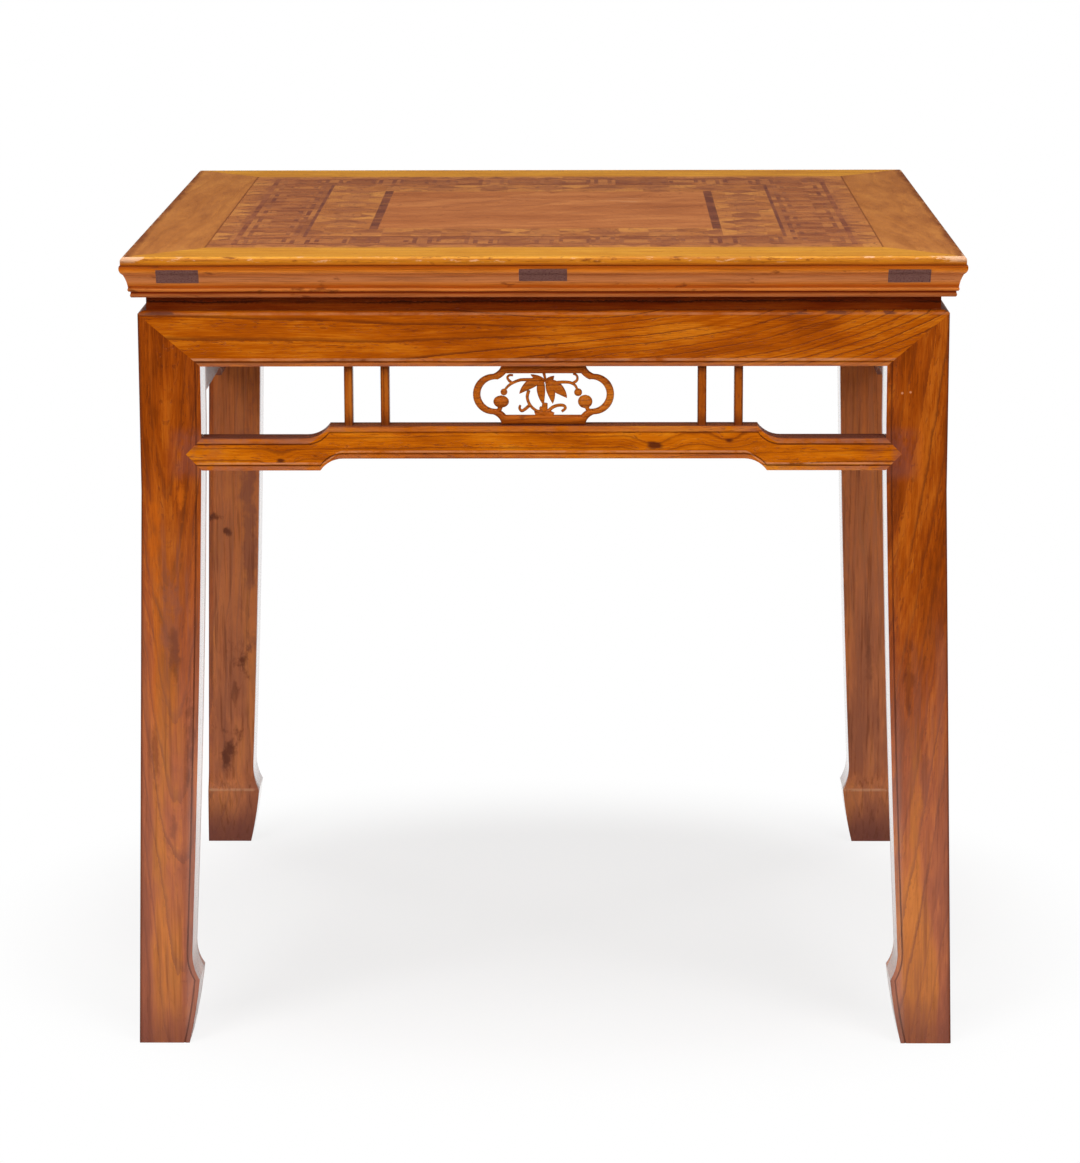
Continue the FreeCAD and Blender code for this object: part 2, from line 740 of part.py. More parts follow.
# --- the nodes ---
def build_top():
    front, left = long_board(), end_board()
    save("top_front_board", front)
    save("top_back_board", turned(front, 2))
    save("top_left_board", left)
    save("top_right_board", turned(left, 2))
    save("ground_panel", ground_panel())
    through = brace_tenon(0, brace_tenon_width, frame_width).common(moulded_length())
    save("brace_middle", brace(through))
    side_brace = brace(brace_tenon(0, blind_tenon_width, blind_tenon_length))
    for name, shape in zip(("brace_left", "brace_right"), at_side_braces(side_brace)):
        save(name, shape)


def build_parquetry():
    def all_round(solids):
        return [turned(solid, quarters) for quarters in range(4) for solid in solids]

    strip, teeth = saw_teeth()
    pale, dark = brocade()
    save("border_pale", *all_round([strip]))
    save("border_teeth", *all_round(teeth))
    save("border_line", *all_round([ring_side(tooth_inner, fret_outer)]))
    save("fret_band", *all_round([ring_side(fret_outer, fret_inner)]))
    save("stringing", *all_round([ring_side(fret_inner, brocade_outer)]))
    save("brocade_pale", *all_round(pale))
    save("brocade_dark", *all_round(dark))
    bar = inlay_box(field_half, brocade_inner, -brocade_inner, brocade_inner)
    strip = inlay_box(-field_half, field_half, -brocade_inner, -field_half)
    save("field_bars_dark", bar, mirrored_x(bar))
    save("field_strips_pale", strip, mirrored_y(strip))
    save("field_board", inlay_box(-field_half, field_half, -field_half, field_half))


def build_base():
    pieces = {"waist": waist(), "apron": apron(), "stretcher": stretcher(), "medallion": medallion()}
    for number, x in enumerate(strut_places, 1):
        pieces[f"strut_{number}"] = strut(x)
    post = leg()
    for quarters, (side, corner) in enumerate(zip(sides, corners)):
        save("leg_" + corner, turned(post, quarters))
        for name, shape in pieces.items():
            save(f"{name}_{side}", turned(shape, quarters))
    pins = [medallion_pin(x, 0, seat) for x in pin_places for seat in (apron_foot, crown_top)]
    save("medallion_pins", *[turned(pin, quarters) for quarters in range(4) for pin in pins])


os.makedirs("parts", exist_ok=True)
build_top()
build_parquetry()
build_base()
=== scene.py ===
import math
import bpy
import numpy as np
from mathutils import Matrix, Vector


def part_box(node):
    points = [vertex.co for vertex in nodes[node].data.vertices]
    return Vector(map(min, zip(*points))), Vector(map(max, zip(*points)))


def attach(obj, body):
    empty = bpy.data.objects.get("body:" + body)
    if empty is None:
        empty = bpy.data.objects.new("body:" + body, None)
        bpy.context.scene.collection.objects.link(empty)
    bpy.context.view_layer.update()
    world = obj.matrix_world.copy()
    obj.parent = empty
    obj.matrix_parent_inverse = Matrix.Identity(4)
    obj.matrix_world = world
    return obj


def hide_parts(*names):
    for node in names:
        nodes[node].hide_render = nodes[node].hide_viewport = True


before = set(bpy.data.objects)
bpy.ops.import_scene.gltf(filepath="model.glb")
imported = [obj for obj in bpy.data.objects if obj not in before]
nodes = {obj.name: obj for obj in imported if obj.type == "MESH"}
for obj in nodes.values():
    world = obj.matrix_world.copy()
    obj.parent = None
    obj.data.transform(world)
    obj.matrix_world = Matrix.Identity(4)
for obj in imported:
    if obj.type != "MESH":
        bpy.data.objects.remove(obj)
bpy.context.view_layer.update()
sideNames = ["front", "right", "back", "left"]  # the order of the CAD's quarter turns
print("frame loaded:", len(nodes), "nodes")

# sizes the finishes share with the CAD
topLow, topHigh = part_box("top_front_board")
apronLow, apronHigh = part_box("apron_front")
stretcherLow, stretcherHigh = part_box("stretcher_front")
ringLow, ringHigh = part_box("medallion_front")
strutBoxes = [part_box(f"strut_{number}_front") for number in (1, 2)]
strutMiddles = [abs(low.x + high.x) / 2 for low, high in strutBoxes]
strutHalf = (strutBoxes[0][1].x - strutBoxes[0][0].x) / 2
baseFace = -stretcherLow.y  # from the middle to the outer faces of legs, aprons and stretchers
legLean = -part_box("leg_front_left")[0].y - baseFace  # how far a leg leans out at the floor
leanStart = 0.63  # height below which it leans
humpRise = 0.0132  # of the stretcher's hump
shoulderFoot = 0.8258  # height at which the apron's shoulder meets its face

cameraLook = {
    "place": (0.0457, -4.80923, 1.43154),
    "pitchDown": 0.20401, "turnLeft": 0.01143, "roll": -0.00262,  # radians
    "focalLength": 4040.2, "frameHeight": 1163,  # in pixels of the whole frame
    "sensor": 36.0,
}


def buildCamera(look):
    data = bpy.data.cameras.new("camera")
    data.sensor_width = look["sensor"]
    data.lens = look["focalLength"] / look["frameHeight"] * look["sensor"]
    data.clip_end = 100
    camera = bpy.data.objects.new("camera", data)
    camera.matrix_world = (Matrix.Translation(look["place"]) @ Matrix.Rotation(look["turnLeft"], 4, "Z")
                           @ Matrix.Rotation(math.pi / 2 - look["pitchDown"], 4, "X")
                           @ Matrix.Rotation(look["roll"], 4, "Z"))
    bpy.context.scene.collection.objects.link(camera)
    bpy.context.scene.camera = camera


def rgb(red, green, blue):
    # a colour as seen on screen, 0 to 255, made linear
    shown = np.array([red, green, blue]) / 255
    linear = np.where(shown <= 0.04045, shown / 12.92, ((shown + 0.055) / 1.055) ** 2.4)
    return (*map(float, linear), 1.0)


def mathMethod(operation, reflected=False):
    # a method of Wire that adds a Math node, with its values the other way round where it is reflected
    def method(self, *others):
        values = (*others, self) if reflected else (self, *others)
        return self.finish.node("ShaderNodeMath", {"operation": operation}, dict(enumerate(values)))
    return method


class Wire:
    # an output socket; arithmetic on it adds Math nodes
    def __init__(self, finish, socket):
        self.finish = finish
        self.socket = socket

    __add__, __radd__ = mathMethod("ADD"), mathMethod("ADD", True)
    __sub__, __rsub__ = mathMethod("SUBTRACT"), mathMethod("SUBTRACT", True)
    __mul__, __rmul__ = mathMethod("MULTIPLY"), mathMethod("MULTIPLY", True)
    __truediv__, __rtruediv__ = mathMethod("DIVIDE"), mathMethod("DIVIDE", True)
    __abs__, sqrt = mathMethod("ABSOLUTE"), mathMethod("SQRT")
    floor, fract = mathMethod("FLOOR"), mathMethod("FRACT")
    larger, smaller = mathMethod("MAXIMUM"), mathMethod("MINIMUM")

    def step(self, low, high):
        # 0 below low, 1 above high, and smooth between; the other way round where low is the larger
        return self.finish.node("ShaderNodeMapRange", {"interpolation_type": "SMOOTHSTEP"},
                                {"Value": self, "From Min": low, "From Max": high})

    def band(self, middle, half, soft):
        # 1 within half of the middle, 0 further off than half + soft
        return abs(self - middle).step(half + soft, half)


waxLook = {"index": 1.2, "coatRoughness": 0.12, "relief": 0.0003}  # glossy only at a slant


class Finish:
    # the nodes of one material or world; node() adds any node: its type, its settings, then the values or
    # links of its sockets
    def __init__(self, owner):
        self.owner = owner
        owner.use_nodes = True
        self.tree = owner.node_tree
        self.tree.nodes.clear()
        self.wax = 0.0  # weight of the coat
        self.grainLine = 0.0  # the dark lines of the growth rings

    def node(self, kind, settings=(), inputs=(), output=0):
        made = self.tree.nodes.new(kind)
        for key, value in dict(settings).items():
            if key == "stops":
                self.setStops(made.color_ramp, value)
            else:
                setattr(made, key, value)
        for key, value in dict(inputs).items():
            if isinstance(value, Wire):
                self.tree.links.new(value.socket, made.inputs[key])
            else:
                made.inputs[key].default_value = value
        return Wire(self, made.outputs[output]) if made.outputs else None

    def setStops(self, ramp, stops):
        while len(ramp.elements) < len(stops):
            ramp.elements.new(1.0)
        for element, (place, colour) in zip(ramp.elements, stops):
            element.position = place
            element.color = colour

    def place(self):
        # the three Object coordinates, in metres
        whole = self.node("ShaderNodeTexCoord", output="Object")
        return [self.node("ShaderNodeSeparateXYZ", inputs={0: whole}, output=axis) for axis in range(3)]

    def vector(self, *parts):
        return self.node("ShaderNodeCombineXYZ", inputs=dict(enumerate(parts)))

    def noise(self, parts, scales, detail=2.0, roughness=0.5):
        # 0 to 1, with its own scale per metre along each part
        stretched = self.vector(*[part * scale for part, scale in zip(parts, scales)])
        return self.node("ShaderNodeTexNoise", inputs={"Vector": stretched, "Scale": 1.0, "Detail": detail,
                                                       "Roughness": roughness})

    def chance(self, *parts):
        # one random value for each whole-number place
        return self.node("ShaderNodeTexWhiteNoise", {"noise_dimensions": "3D"},
                         {"Vector": self.vector(*parts)})

    def mix(self, factor, first, second):
        return self.node("ShaderNodeMix", {"data_type": "RGBA", "clamp_factor": True},
                         {0: factor, 6: first, 7: second}, output=2)

    def ramp(self, factor, *stops):
        return self.node("ShaderNodeValToRGB", {"stops": stops}, {0: factor})

    def done(self, colour, roughness, height, relief=waxLook["relief"]):
        bump = self.node("ShaderNodeBump", inputs={"Height": height, "Strength": 1.0, "Distance": relief})
        shader = self.node("ShaderNodeBsdfPrincipled", inputs={
            "Base Color": colour, "Roughness": roughness, "IOR": waxLook["index"], "Normal": bump,
            "Coat Weight": self.wax, "Coat Roughness": waxLook["coatRoughness"]})
        self.node("ShaderNodeOutputMaterial", inputs={"Surface": shader})
        return self.owner


elmLook = {
    "axes": "xzy",  # which coordinates run along the grain, across it and into the board
    "pith": (0.06, 0.0),  # middle of the growth rings, across the board and into it
    "dive": 0.12, "crossing": 0.0,  # how fast the pith leaves that depth, and where along the board it has it
    "taper": 0.0, "anchor": 0.0,  # how fast the rings narrow along the board, and the ring that spreads least
    "sweep": 0.0, "sweepStart": 0.0,  # how fast the grain climbs across the board, and from where along it
    "ringGap": 0.009, "spread": 0.0, "spreadSpan": (-0.25, 0.0),  # wider rings before the span
    "wander": 0.02, "ripple": 0.003, "jag": 0.0012,  # how far the rings stray, from slow bends to small teeth
    "shade": rgb(126, 52, 3), "body": rgb(170, 78, 4), "glow": rgb(198, 108, 18), "contrast": 1.0,
    "tones": (0.5, 0.8, 0.45, 0.12),  # shares of streaks, patches, fibres and the rings' own shades
    "line": rgb(88, 36, 12), "lineWeight": 0.85,
    "pore": rgb(96, 38, 10), "poreWeight": 0.45,
    "knots": (),  # place along and across, and size
    "seed": 0.0, "roughness": 0.34, "swing": 0.18,  # of the roughness, from streak to streak
}
grainScales = {  # per metre along the board, across it and into it
    "wander": (2.6, 7, 7), "ripple": (16, 70, 70), "jag": (300, 300, 300), "fading": (7, 30, 30),
    "streak": (9, 420, 60), "patch": (9, 32, 32), "fibre": (40, 1200, 1200), "pore": (110, 700, 300),
}
knotLook = {"squeeze": 0.3, "reach": 4.5, "bulge": 1.8, "ragged": 2.4, "edge": (1.1, 0.4), "weight": 0.95}


def ringRadius(f, look, along, board):
    # the distance from a pith that dives, wanders and climbs along the board, less what the rings narrow
    # there; it bulges round each knot, and the second value says how dark the knots are
    _, across, deep = board
    wander = (f.noise(board, grainScales["wander"], 2) - 0.5) * look["wander"]
    ripple = f.noise(board, grainScales["ripple"], 3, 0.6) - 0.5
    jag = f.noise(board, grainScales["jag"], 1) - 0.5
    beyond = (along - look["sweepStart"]).larger(0.0)
    climb = beyond * beyond * look["sweep"]
    sideways = across - look["pith"][0] - climb + wander
    inwards = deep - look["pith"][1] + (along - look["crossing"]) * look["dive"] + wander
    radius = (sideways * sideways + inwards * inwards).sqrt() - along * look["taper"] - look["anchor"]
    radius = radius + ripple * look["ripple"] + jag * look["jag"]
    dark = 0.0
    for knotAlong, knotAcross, size in look["knots"]:
        lengthwise, crosswise = along - knotAlong, across - knotAcross
        away = (lengthwise * lengthwise * knotLook["squeeze"] + crosswise * crosswise).sqrt() / size
        radius = radius + away.step(knotLook["reach"], 0.0) * (size * knotLook["bulge"])
        dark = (away + ripple * knotLook["ragged"]).step(*knotLook["edge"]) + dark
    return radius, dark


def elmGrain(f, look, parts):
    # a growth ring is the fraction of radius / gap, and a thin dark line ends it; streaks, patches, fibres
    # and each ring's own shade make the tone, and pores lie in the early wood
    along, across, deep = [parts["xyz".index(axis)] for axis in look["axes"]]
    board = (along + look["seed"], across, deep)
    radius, dark = ringRadius(f, look, along, board)
    bent = (board[0], radius, deep)
    spreadLow, spreadHigh = look["spreadSpan"]
    phase = radius / look["ringGap"] / (along.step(spreadHigh, spreadLow) * look["spread"] + 1)
    ring = phase.fract()
    age = f.chance(phase.floor(), look["seed"], 0.0)
    fading = f.noise(board, grainScales["fading"], 2)
    f.grainLine = ring.step(0.76, 0.95) * ring.step(1.0, 0.98) * (age * 0.5 + 0.5) * fading.step(0.25, 0.50)
    streak = f.noise(bent, grainScales["streak"], 5, 0.65)
    patch = f.noise(board, grainScales["patch"], 4, 0.6)
    fibre = f.noise(board, grainScales["fibre"], 2, 0.6)
    pore = f.noise(bent, grainScales["pore"], 1).step(0.60, 0.68) * ring.step(0.9, 0.1)
    shares = look["tones"]
    mixed = streak * shares[0] + patch * shares[1] + fibre * shares[2] + age * shares[3]
    tone = (mixed - sum(shares) / 2) * look["contrast"] + 0.5
    colour = f.ramp(tone, (0.24, look["shade"]), (0.5, look["body"]), (0.74, look["glow"]))
    colour = f.mix(f.grainLine * look["lineWeight"], colour, look["line"])
    colour = f.mix(pore * look["poreWeight"], colour, look["pore"])
    if look["knots"]:
        colour = f.mix(dark * knotLook["weight"], colour, look["line"])
    height = streak * 0.4 + fibre * 0.3 - f.grainLine * 0.4 - pore * 0.8  # the pores lie deepest
    roughness = streak * look["swing"] + (look["roughness"] - look["swing"] / 2)
    return colour, height, roughness


def elm(name, look, layers=()):
    # an elm finish; each layer gives, for the finish and its coordinates, masks and the colours they let in
    f = Finish(bpy.data.materials.new(name))
    parts = f.place()
    colour, height, roughness = elmGrain(f, {**elmLook, **look}, parts)
    for layer in layers:
        for mask, tint in layer(f, parts):
            colour = f.mix(mask, colour, tint)
    return f.done(colour, roughness, height)


def finishNodes(material, names):
    for name in names:
        slots = nodes[name].data.materials
        slots.clear()
        slots.append(material)


# worn and dirty places of the whole table, and painted shade in the carving's hollows, under the waist and on
# the stretchers' upper and inner faces
dirtAndShadeLook = {"line": rgb(84, 36, 18), "grime": rgb(88, 50, 46), "paleMark": rgb(204, 138, 96),
            "purple": rgb(124, 70, 60), "bead": rgb(176, 108, 66), "worn": rgb(158, 98, 74)}

topLook = {
    "grain": {"axes": "xyz", "pith": (0.11, -0.10), "dive": 0.02, "ringGap": 0.011, "wander": 0.03,
              "shade": rgb(182, 110, 24), "body": rgb(206, 138, 38), "glow": rgb(222, 158, 54),
              "line": rgb(150, 84, 26), "lineWeight": 0.5, "pore": rgb(140, 74, 22), "poreWeight": 0.3,
              "contrast": 0.8},
    "endGrain": {"axes": "yxz", "pith": (0.02, -0.2), "seed": 3.0, "shade": rgb(150, 84, 34),
                 "body": rgb(182, 112, 50), "glow": rgb(202, 134, 62)},  # where the end boards differ
    # colours of the moulded edge, mostly the painted highlights and shade of its members, by height from its
    # foot (0) to the top face (1)
    "shadedStripes": ((0.00, rgb(168, 87, 41)), (0.06, rgb(174, 96, 44)), (0.085, rgb(158, 78, 28)),
                (0.11, rgb(122, 38, 2)), (0.135, rgb(130, 42, 2)), (0.16, rgb(200, 106, 30)),
                (0.205, rgb(212, 122, 52)), (0.24, rgb(164, 72, 8)), (0.285, rgb(174, 76, 2)),
                (0.335, rgb(192, 106, 36)), (0.41, rgb(198, 118, 64)), (0.49, rgb(190, 112, 60)),
                (0.56, rgb(182, 98, 44)), (0.61, rgb(206, 118, 52)), (0.65, rgb(218, 124, 36)),
                (0.71, rgb(190, 96, 12)), (0.785, rgb(136, 56, 3)), (0.84, rgb(186, 104, 20)),
                (0.90, rgb(198, 122, 26)), (0.96, rgb(184, 106, 32)), (1.00, rgb(164, 82, 24))),
    "dark": rgb(104, 42, 6), "worn": rgb(228, 178, 140),
    "tenon": rgb(114, 76, 68), "tenonDark": rgb(78, 42, 40),
    # distances from the table's middle: where a mark begins and where it is full
    "side": (0.4450, 0.4475),  # the moulded edge's colours
    "rim": (0.436, 0.456),  # dark wear along the end boards
    "arris": (0.4525, 0.4565), "corner": (0.415, 0.452), "ends": (0.4555, 0.4590),
    "seam": 0.3735, "seamEnd": (0.3745, 0.3730),  # dirt in the joint between end board and panel
    "tenonFace": (0.42, 0.43), "braceFace": (0.374, 0.376),
}


def mouldedColours(f, parts):
    # painted highlights and shade on the moulding's members, from the foot bead up to the arris; dirt lies
    # along the panel
    x, y, z = parts
    look = topLook
    below = topHigh.z - z
    edge = abs(x).larger(abs(y))
    wave = f.noise(parts, (9, 9, 1), 2) - 0.5
    height = (z - topLow.z) / (topHigh.z - topLow.z) + wave * 0.05
    # painted highlights and shade of the moulding, by height
    shadedStripes = f.ramp(height, *look["shadedStripes"])
    streak = f.noise((x + y, z, z), (14, 420, 420), 4, 0.6)
    shadedStripes = f.mix(streak.step(0.42, 0.7) * 0.45, shadedStripes, look["dark"])
    blot = f.noise(parts, (30, 30, 90), 4, 0.6)
    shadedStripes = f.mix(blot.step(0.60, 0.70) * 0.7, shadedStripes, look["dark"])
    yield edge.step(*look["side"]) * below.step(0.0008, 0.003), shadedStripes
    rim = abs(x).step(*look["rim"]) * below.step(0.010, 0.004) * f.noise(parts, (40, 12, 40), 3, 0.6)
    yield rim.step(0.20, 0.60) * 0.8, look["dark"]
    seam = abs(x).band(look["seam"], 0.0007, 0.0012) * abs(y).step(*look["seamEnd"])
    yield seam * below.step(0.003, 0.001) * 0.7, look["dark"]


def wornArris(f, parts):
    # pale chips and rubbed places along the upper arris, most of all at the corners
    x, y, z = parts
    look = topLook
    below = topHigh.z - z
    edge = abs(x).larger(abs(y))
    corner = abs(x).smaller(abs(y)).step(*look["corner"])
    arris = edge.step(*look["arris"]) * below.step(0.0075, 0.0025)
    chip = f.noise(parts, (46, 46, 160), 4, 0.7)
    paleMark = arris * (chip + corner * 0.22).step(0.57, 0.66)
    dark = arris * (1 - chip).step(0.56, 0.64) * (1 - corner)
    ends = abs(x).step(*look["ends"]) * below.step(0.004, 0.001)
    yield ends * 0.5, dirtAndShadeLook["grime"]
    yield dark * 0.7, look["dark"]
    yield paleMark * 0.8, look["worn"]


def flecked(f, parts):
    # dark end grain with flecks
    fleck = f.noise(parts, (500, 20, 900), 2)
    return f.mix(fleck.step(0.45, 0.75), topLook["tenon"], topLook["tenonDark"])


def tenonEnds(f, parts):
    # where the end boards' tenons come through the front and back mouldings
    x, y, _ = parts
    yield (abs(y) - abs(x)).step(0.0, 0.0002) * abs(y).step(*topLook["tenonFace"]), flecked(f, parts)


def braceTenon(f, parts):
    # where a brace goes into the front and back boards, and the middle one through them
    yield abs(parts[1]).step(*topLook["braceFace"]), flecked(f, parts)


def dressTop():
    look, layers = topLook["grain"], (mouldedColours, wornArris)
    finishNodes(elm("topLongElm", look, layers), ["top_front_board", "top_back_board"])
    endLook = {**look, **topLook["endGrain"]}
    finishNodes(elm("topEndElm", endLook, (*layers, tenonEnds)), ["top_left_board", "top_right_board"])
    print("top frame dressed")


hiddenLook = {"axes": "yxz", "pith": (0.03, 0.9), "ringGap": 0.014, "seed": 7.0, "roughness": 0.62,
              "shade": rgb(150, 96, 50), "body": rgb(178, 122, 70), "glow": rgb(196, 144, 92),
              "line": rgb(128, 78, 40)}


def dressHidden():
    # bare, unwaxed wood under the top
    finishNodes(elm("hiddenElm", hiddenLook), ["ground_panel"])
    braceLook = {**hiddenLook, "seed": 2.0, "roughness": 0.6}
    finishNodes(elm("braceElm", braceLook, (braceTenon,)), ["brace_left", "brace_middle", "brace_right"])
    print("panel and braces dressed")


inlayLook = {
    # three tones of each wood
    "pale": (rgb(156, 90, 44), rgb(178, 108, 54), rgb(200, 132, 64)),
    "brown": (rgb(144, 82, 46), rgb(162, 96, 54), rgb(182, 114, 60)),
    "dark": (rgb(122, 64, 42), rgb(142, 80, 50), rgb(164, 98, 58)),
    "strip": (rgb(120, 64, 44), rgb(140, 80, 50), rgb(162, 98, 58)),
    "string": (rgb(100, 52, 42), rgb(120, 66, 48), rgb(142, 82, 54)),
    "bar": (rgb(92, 46, 34), rgb(116, 62, 42), rgb(138, 78, 50)),
    "joint": rgb(104, 54, 40),
    "cell": 0.0336,  # size of the pieces that differ in tone
    "mottle": 0.9, "relief": 0.0002,
    # noise per metre
    "grain": (60, 420, 420), "patch": (26, 26, 26), "flecks": (170, 60, 100), "wax": (34, 48, 9),
}


def inlayWood(name, wood, seed, spread=0.5):
    # small pieces of parquetry: each cell of the pattern has its own tone; fine grain, flecks and old wax
    look, tones = inlayLook, inlayLook[wood]
    f = Finish(bpy.data.materials.new(name))
    x, y, z = parts = f.place()
    piece = f.chance((x / look["cell"] + 0.5).floor() + seed, (y / look["cell"]).floor(), 0.0)
    grain = f.noise(parts, look["grain"], 4, 0.65)
    patch = f.noise((x + seed, y, z), look["patch"], 4, 0.6)
    tone = (piece - 0.5) * spread + (grain + 0.5) * 0.5 + (patch - 0.5) * look["mottle"]
    colour = f.ramp(tone, (0.2, tones[0]), (0.5, tones[1]), (0.8, tones[2]))
    flecks = f.noise((x, y + seed, z), look["flecks"], 3, 0.6).step(0.56, 0.68)
    colour = f.mix(flecks * 0.55, colour, look["joint"])
    wax = f.noise(parts, look["wax"], 4, 0.65)
    colour = f.mix(wax.step(0.50, 0.66) * 0.5, colour, look["dark"][0])
    colour = f.mix(wax.step(0.48, 0.36) * 0.5, colour, look["pale"][1])
    return f.done(colour, grain * 0.15 + 0.26, grain - flecks, look["relief"])


fieldLook = {
    "grain": {"axes": "xyz", "pith": (0.3, -0.2), "ringGap": 0.013, "wander": 0.05,
              "shade": rgb(150, 82, 40), "body": rgb(174, 102, 54), "glow": rgb(194, 122, 68),
              "line": rgb(136, 72, 40), "lineWeight": 0.4, "pore": rgb(122, 62, 36), "seed": 5.0,
              "roughness": 0.36, "swing": 0.16},
    "scuff": rgb(206, 160, 124), "scuffs": (16, 90, 1), "groups": (4, 4, 1),  # noise per metre
}


def fieldScuffs(f, parts):
    # pale scuffs on the plain middle board, in groups, where things were pushed about
    look = fieldLook
    scuff = f.noise(parts, look["scuffs"], 3, 0.7).step(0.60, 0.72)
    group = f.noise(parts, look["groups"], 1).step(0.5, 0.62)
    yield scuff * group * 0.5, look["scuff"]


def meshObject(name, points, faces, sharpAngle=None):
    # smooth where an angle is given, but for the edges that are sharper than it, in degrees
    mesh = bpy.data.meshes.new(name)
    mesh.from_pydata(points.tolist(), [], faces)
    mesh.validate()
    if sharpAngle is not None:
        mesh.shade_smooth()
        mesh.set_sharp_from_angle(angle=math.radians(sharpAngle))
    made = bpy.data.objects.new(name, mesh)
    bpy.context.scene.collection.objects.link(made)
    return made


def boxFaces(count):
    # the six faces of each of that many boxes, whose eight corners go round the bottom and then round the top
    quads = np.array([[0, 3, 2, 1], [4, 5, 6, 7], [0, 1, 5, 4], [1, 2, 6, 5], [2, 3, 7, 6], [3, 0, 4, 7]])
    return (quads[None] + 8 * np.arange(count)[:, None, None]).reshape(-1, 4).tolist()


def boxPoints(low, high):
    # the eight corners of each box between an array of low and an array of high corners
    picks = np.array([[0, 0, 0], [1, 0, 0], [1, 1, 0], [0, 1, 0], [0, 0, 1], [1, 0, 1], [1, 1, 1], [0, 1, 1]])
    return np.where(picks[None] == 1, high[:, None, :], low[:, None, :]).reshape(-1, 3)


def quarterTurns(points, turns):
    # a quarter turn about Z takes x, y to -y, x
    turned = points.copy()
    for _ in range(turns):
        turned[..., 0], turned[..., 1] = -turned[..., 1].copy(), turned[..., 0].copy()
    return turned


def fourTurns(points):
    return np.concatenate([quarterTurns(points, turns) for turns in range(4)])


fretLook = {
    "outer": 0.342, "inner": 0.273,  # edges of the band, from the table's middle
    "line": 0.005, "margin": 0.006, "units": 8,
    "sunk": 0.00015, "thick": 0.0006,  # the ground below the top face, and the strips
    "bottom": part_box("fret_band")[0].z, "top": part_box("fret_band")[1].z,
}


def spiralRuns(x0, x1, y0, y1, gap, half):
    # the straight runs of a square spiral that winds inwards: each starts half a strip before its corner and
    # stops half a strip before the next, so that no two overlap
    corners = np.array([(x0, y0), (x0, y1), (x1, y1), (x1, y0), (x0 + gap, y0), (x0 + gap, y1 - gap),
                        (x1 - gap, y1 - gap), (x1 - gap, y0 + gap)])
    runs = np.stack([corners[:-1], corners[1:]], axis=1)
    return runs - half * np.sign(runs[:, 1:] - runs[:, :1])


def fretRuns(look):
    # the front of the band: a spiral in the left corner, then one in each unit, mirrored in every other one
    half, gap = look["line"] / 2, 2 * look["line"]
    edge = look["margin"] + half
    near, far = edge - look["outer"], -look["inner"] - edge
    rows = [spiralRuns(near, far, near, far, gap, half)]
    for left in np.linspace(-look["inner"], look["inner"], look["units"], endpoint=False):
        right = left + 2 * look["inner"] / look["units"]
        runs = spiralRuns(left + edge, right - edge, near, far, gap, half)
        if len(rows) % 2 == 1:
            runs[..., 0] = left + right - runs[..., 0]
        rows.append(runs)
    return np.concatenate(rows)


def buildFretStrips(look):
    # each run becomes a box half a strip wide to each side of it, flush with the top face
    runs = fretRuns(look)
    side = look["line"] / 2 * (runs[:, 0] == runs[:, 1])
    low = np.insert(runs.min(axis=1) - side, 2, look["top"] - look["thick"], axis=1)
    high = np.insert(runs.max(axis=1) + side, 2, look["top"], axis=1)
    first, second = fourTurns(low), fourTurns(high)
    points = boxPoints(np.minimum(first, second), np.maximum(first, second))
    strips = meshObject("fretStrips", points, boxFaces(len(first)))
    strips.data.materials.append(inlayWood("fretDark", "strip", 11.0, 0.6))
    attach(strips, "root")


def buildFretGround(look):
    # four boards mitred at the corners, a hair lower than the strips
    outer, inner = look["outer"], look["inner"]
    outline = np.array([(-outer, -outer), (outer, -outer), (inner, -inner), (-inner, -inner)])
    heights = (look["bottom"], look["top"] - look["sunk"])
    board = np.concatenate([np.insert(outline, 2, z, axis=1) for z in heights])
    ground = meshObject("fretGround", fourTurns(board), boxFaces(4))
    ground.data.materials.append(inlayWood("fretPale", "brown", 23.0, 0.8))
    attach(ground, "root")
    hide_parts("fret_band")


def dressParquetry():
    finishNodes(inlayWood("paleInlay", "pale", 3.0), ["border_pale", "brocade_pale", "field_strips_pale"])
    finishNodes(inlayWood("brownInlay", "brown", 9.0, 0.6), ["border_teeth", "brocade_dark"])
    finishNodes(inlayWood("darkInlay", "dark", 5.0, 0.7), ["border_line"])
    finishNodes(inlayWood("stringInlay", "string", 15.0, 0.4), ["stringing"])
    finishNodes(inlayWood("barInlay", "bar", 13.0, 0.4), ["field_bars_dark"])
    finishNodes(elm("fieldElm", fieldLook["grain"], (fieldScuffs,)), ["field_board"])
    buildFretStrips(fretLook)
    buildFretGround(fretLook)
    print("parquetry dressed")


sideLook = {
    "apron": {"pith": (0.895, -0.43), "dive": 0.02, "ringGap": 0.0086, "wander": 0.030, "spread": 1.8,
              "anchor": 0.098, "spreadSpan": (-0.28, 0.08), "sweep": 0.48, "sweepStart": -0.04,
              "body": rgb(170, 80, 4), "glow": rgb(204, 116, 20), "lineWeight": 0.95, "roughness": 0.24},
    "stretcher": {"pith": (0.60, -0.42), "dive": 0.03, "crossing": 0.3, "ringGap": 0.011, "wander": 0.03,
                  "shade": rgb(144, 62, 2), "body": rgb(192, 98, 4), "glow": rgb(216, 132, 24), "seed": 1.7,
                  "knots": ((0.122, 0.681, 0.0050), (0.203, 0.686, 0.0042), (-0.289, 0.664, 0.0036)),
                  "roughness": 0.24},
    "waist": {"pith": (0.7, -0.2), "dive": 0.0, "ringGap": 0.008, "seed": 4.0, "shade": rgb(84, 24, 0),
              "body": rgb(112, 40, 3), "glow": rgb(134, 58, 8), "line": rgb(44, 14, 4), "roughness": 0.24},
    "strut": {"axes": "zxy", "pith": (0.5, 0.3), "dive": 0.0, "ringGap": 0.005, "seed": 6.0,
              "shade": rgb(120, 50, 10), "body": rgb(158, 76, 14), "glow": rgb(180, 98, 28),
              "roughness": 0.26},
}
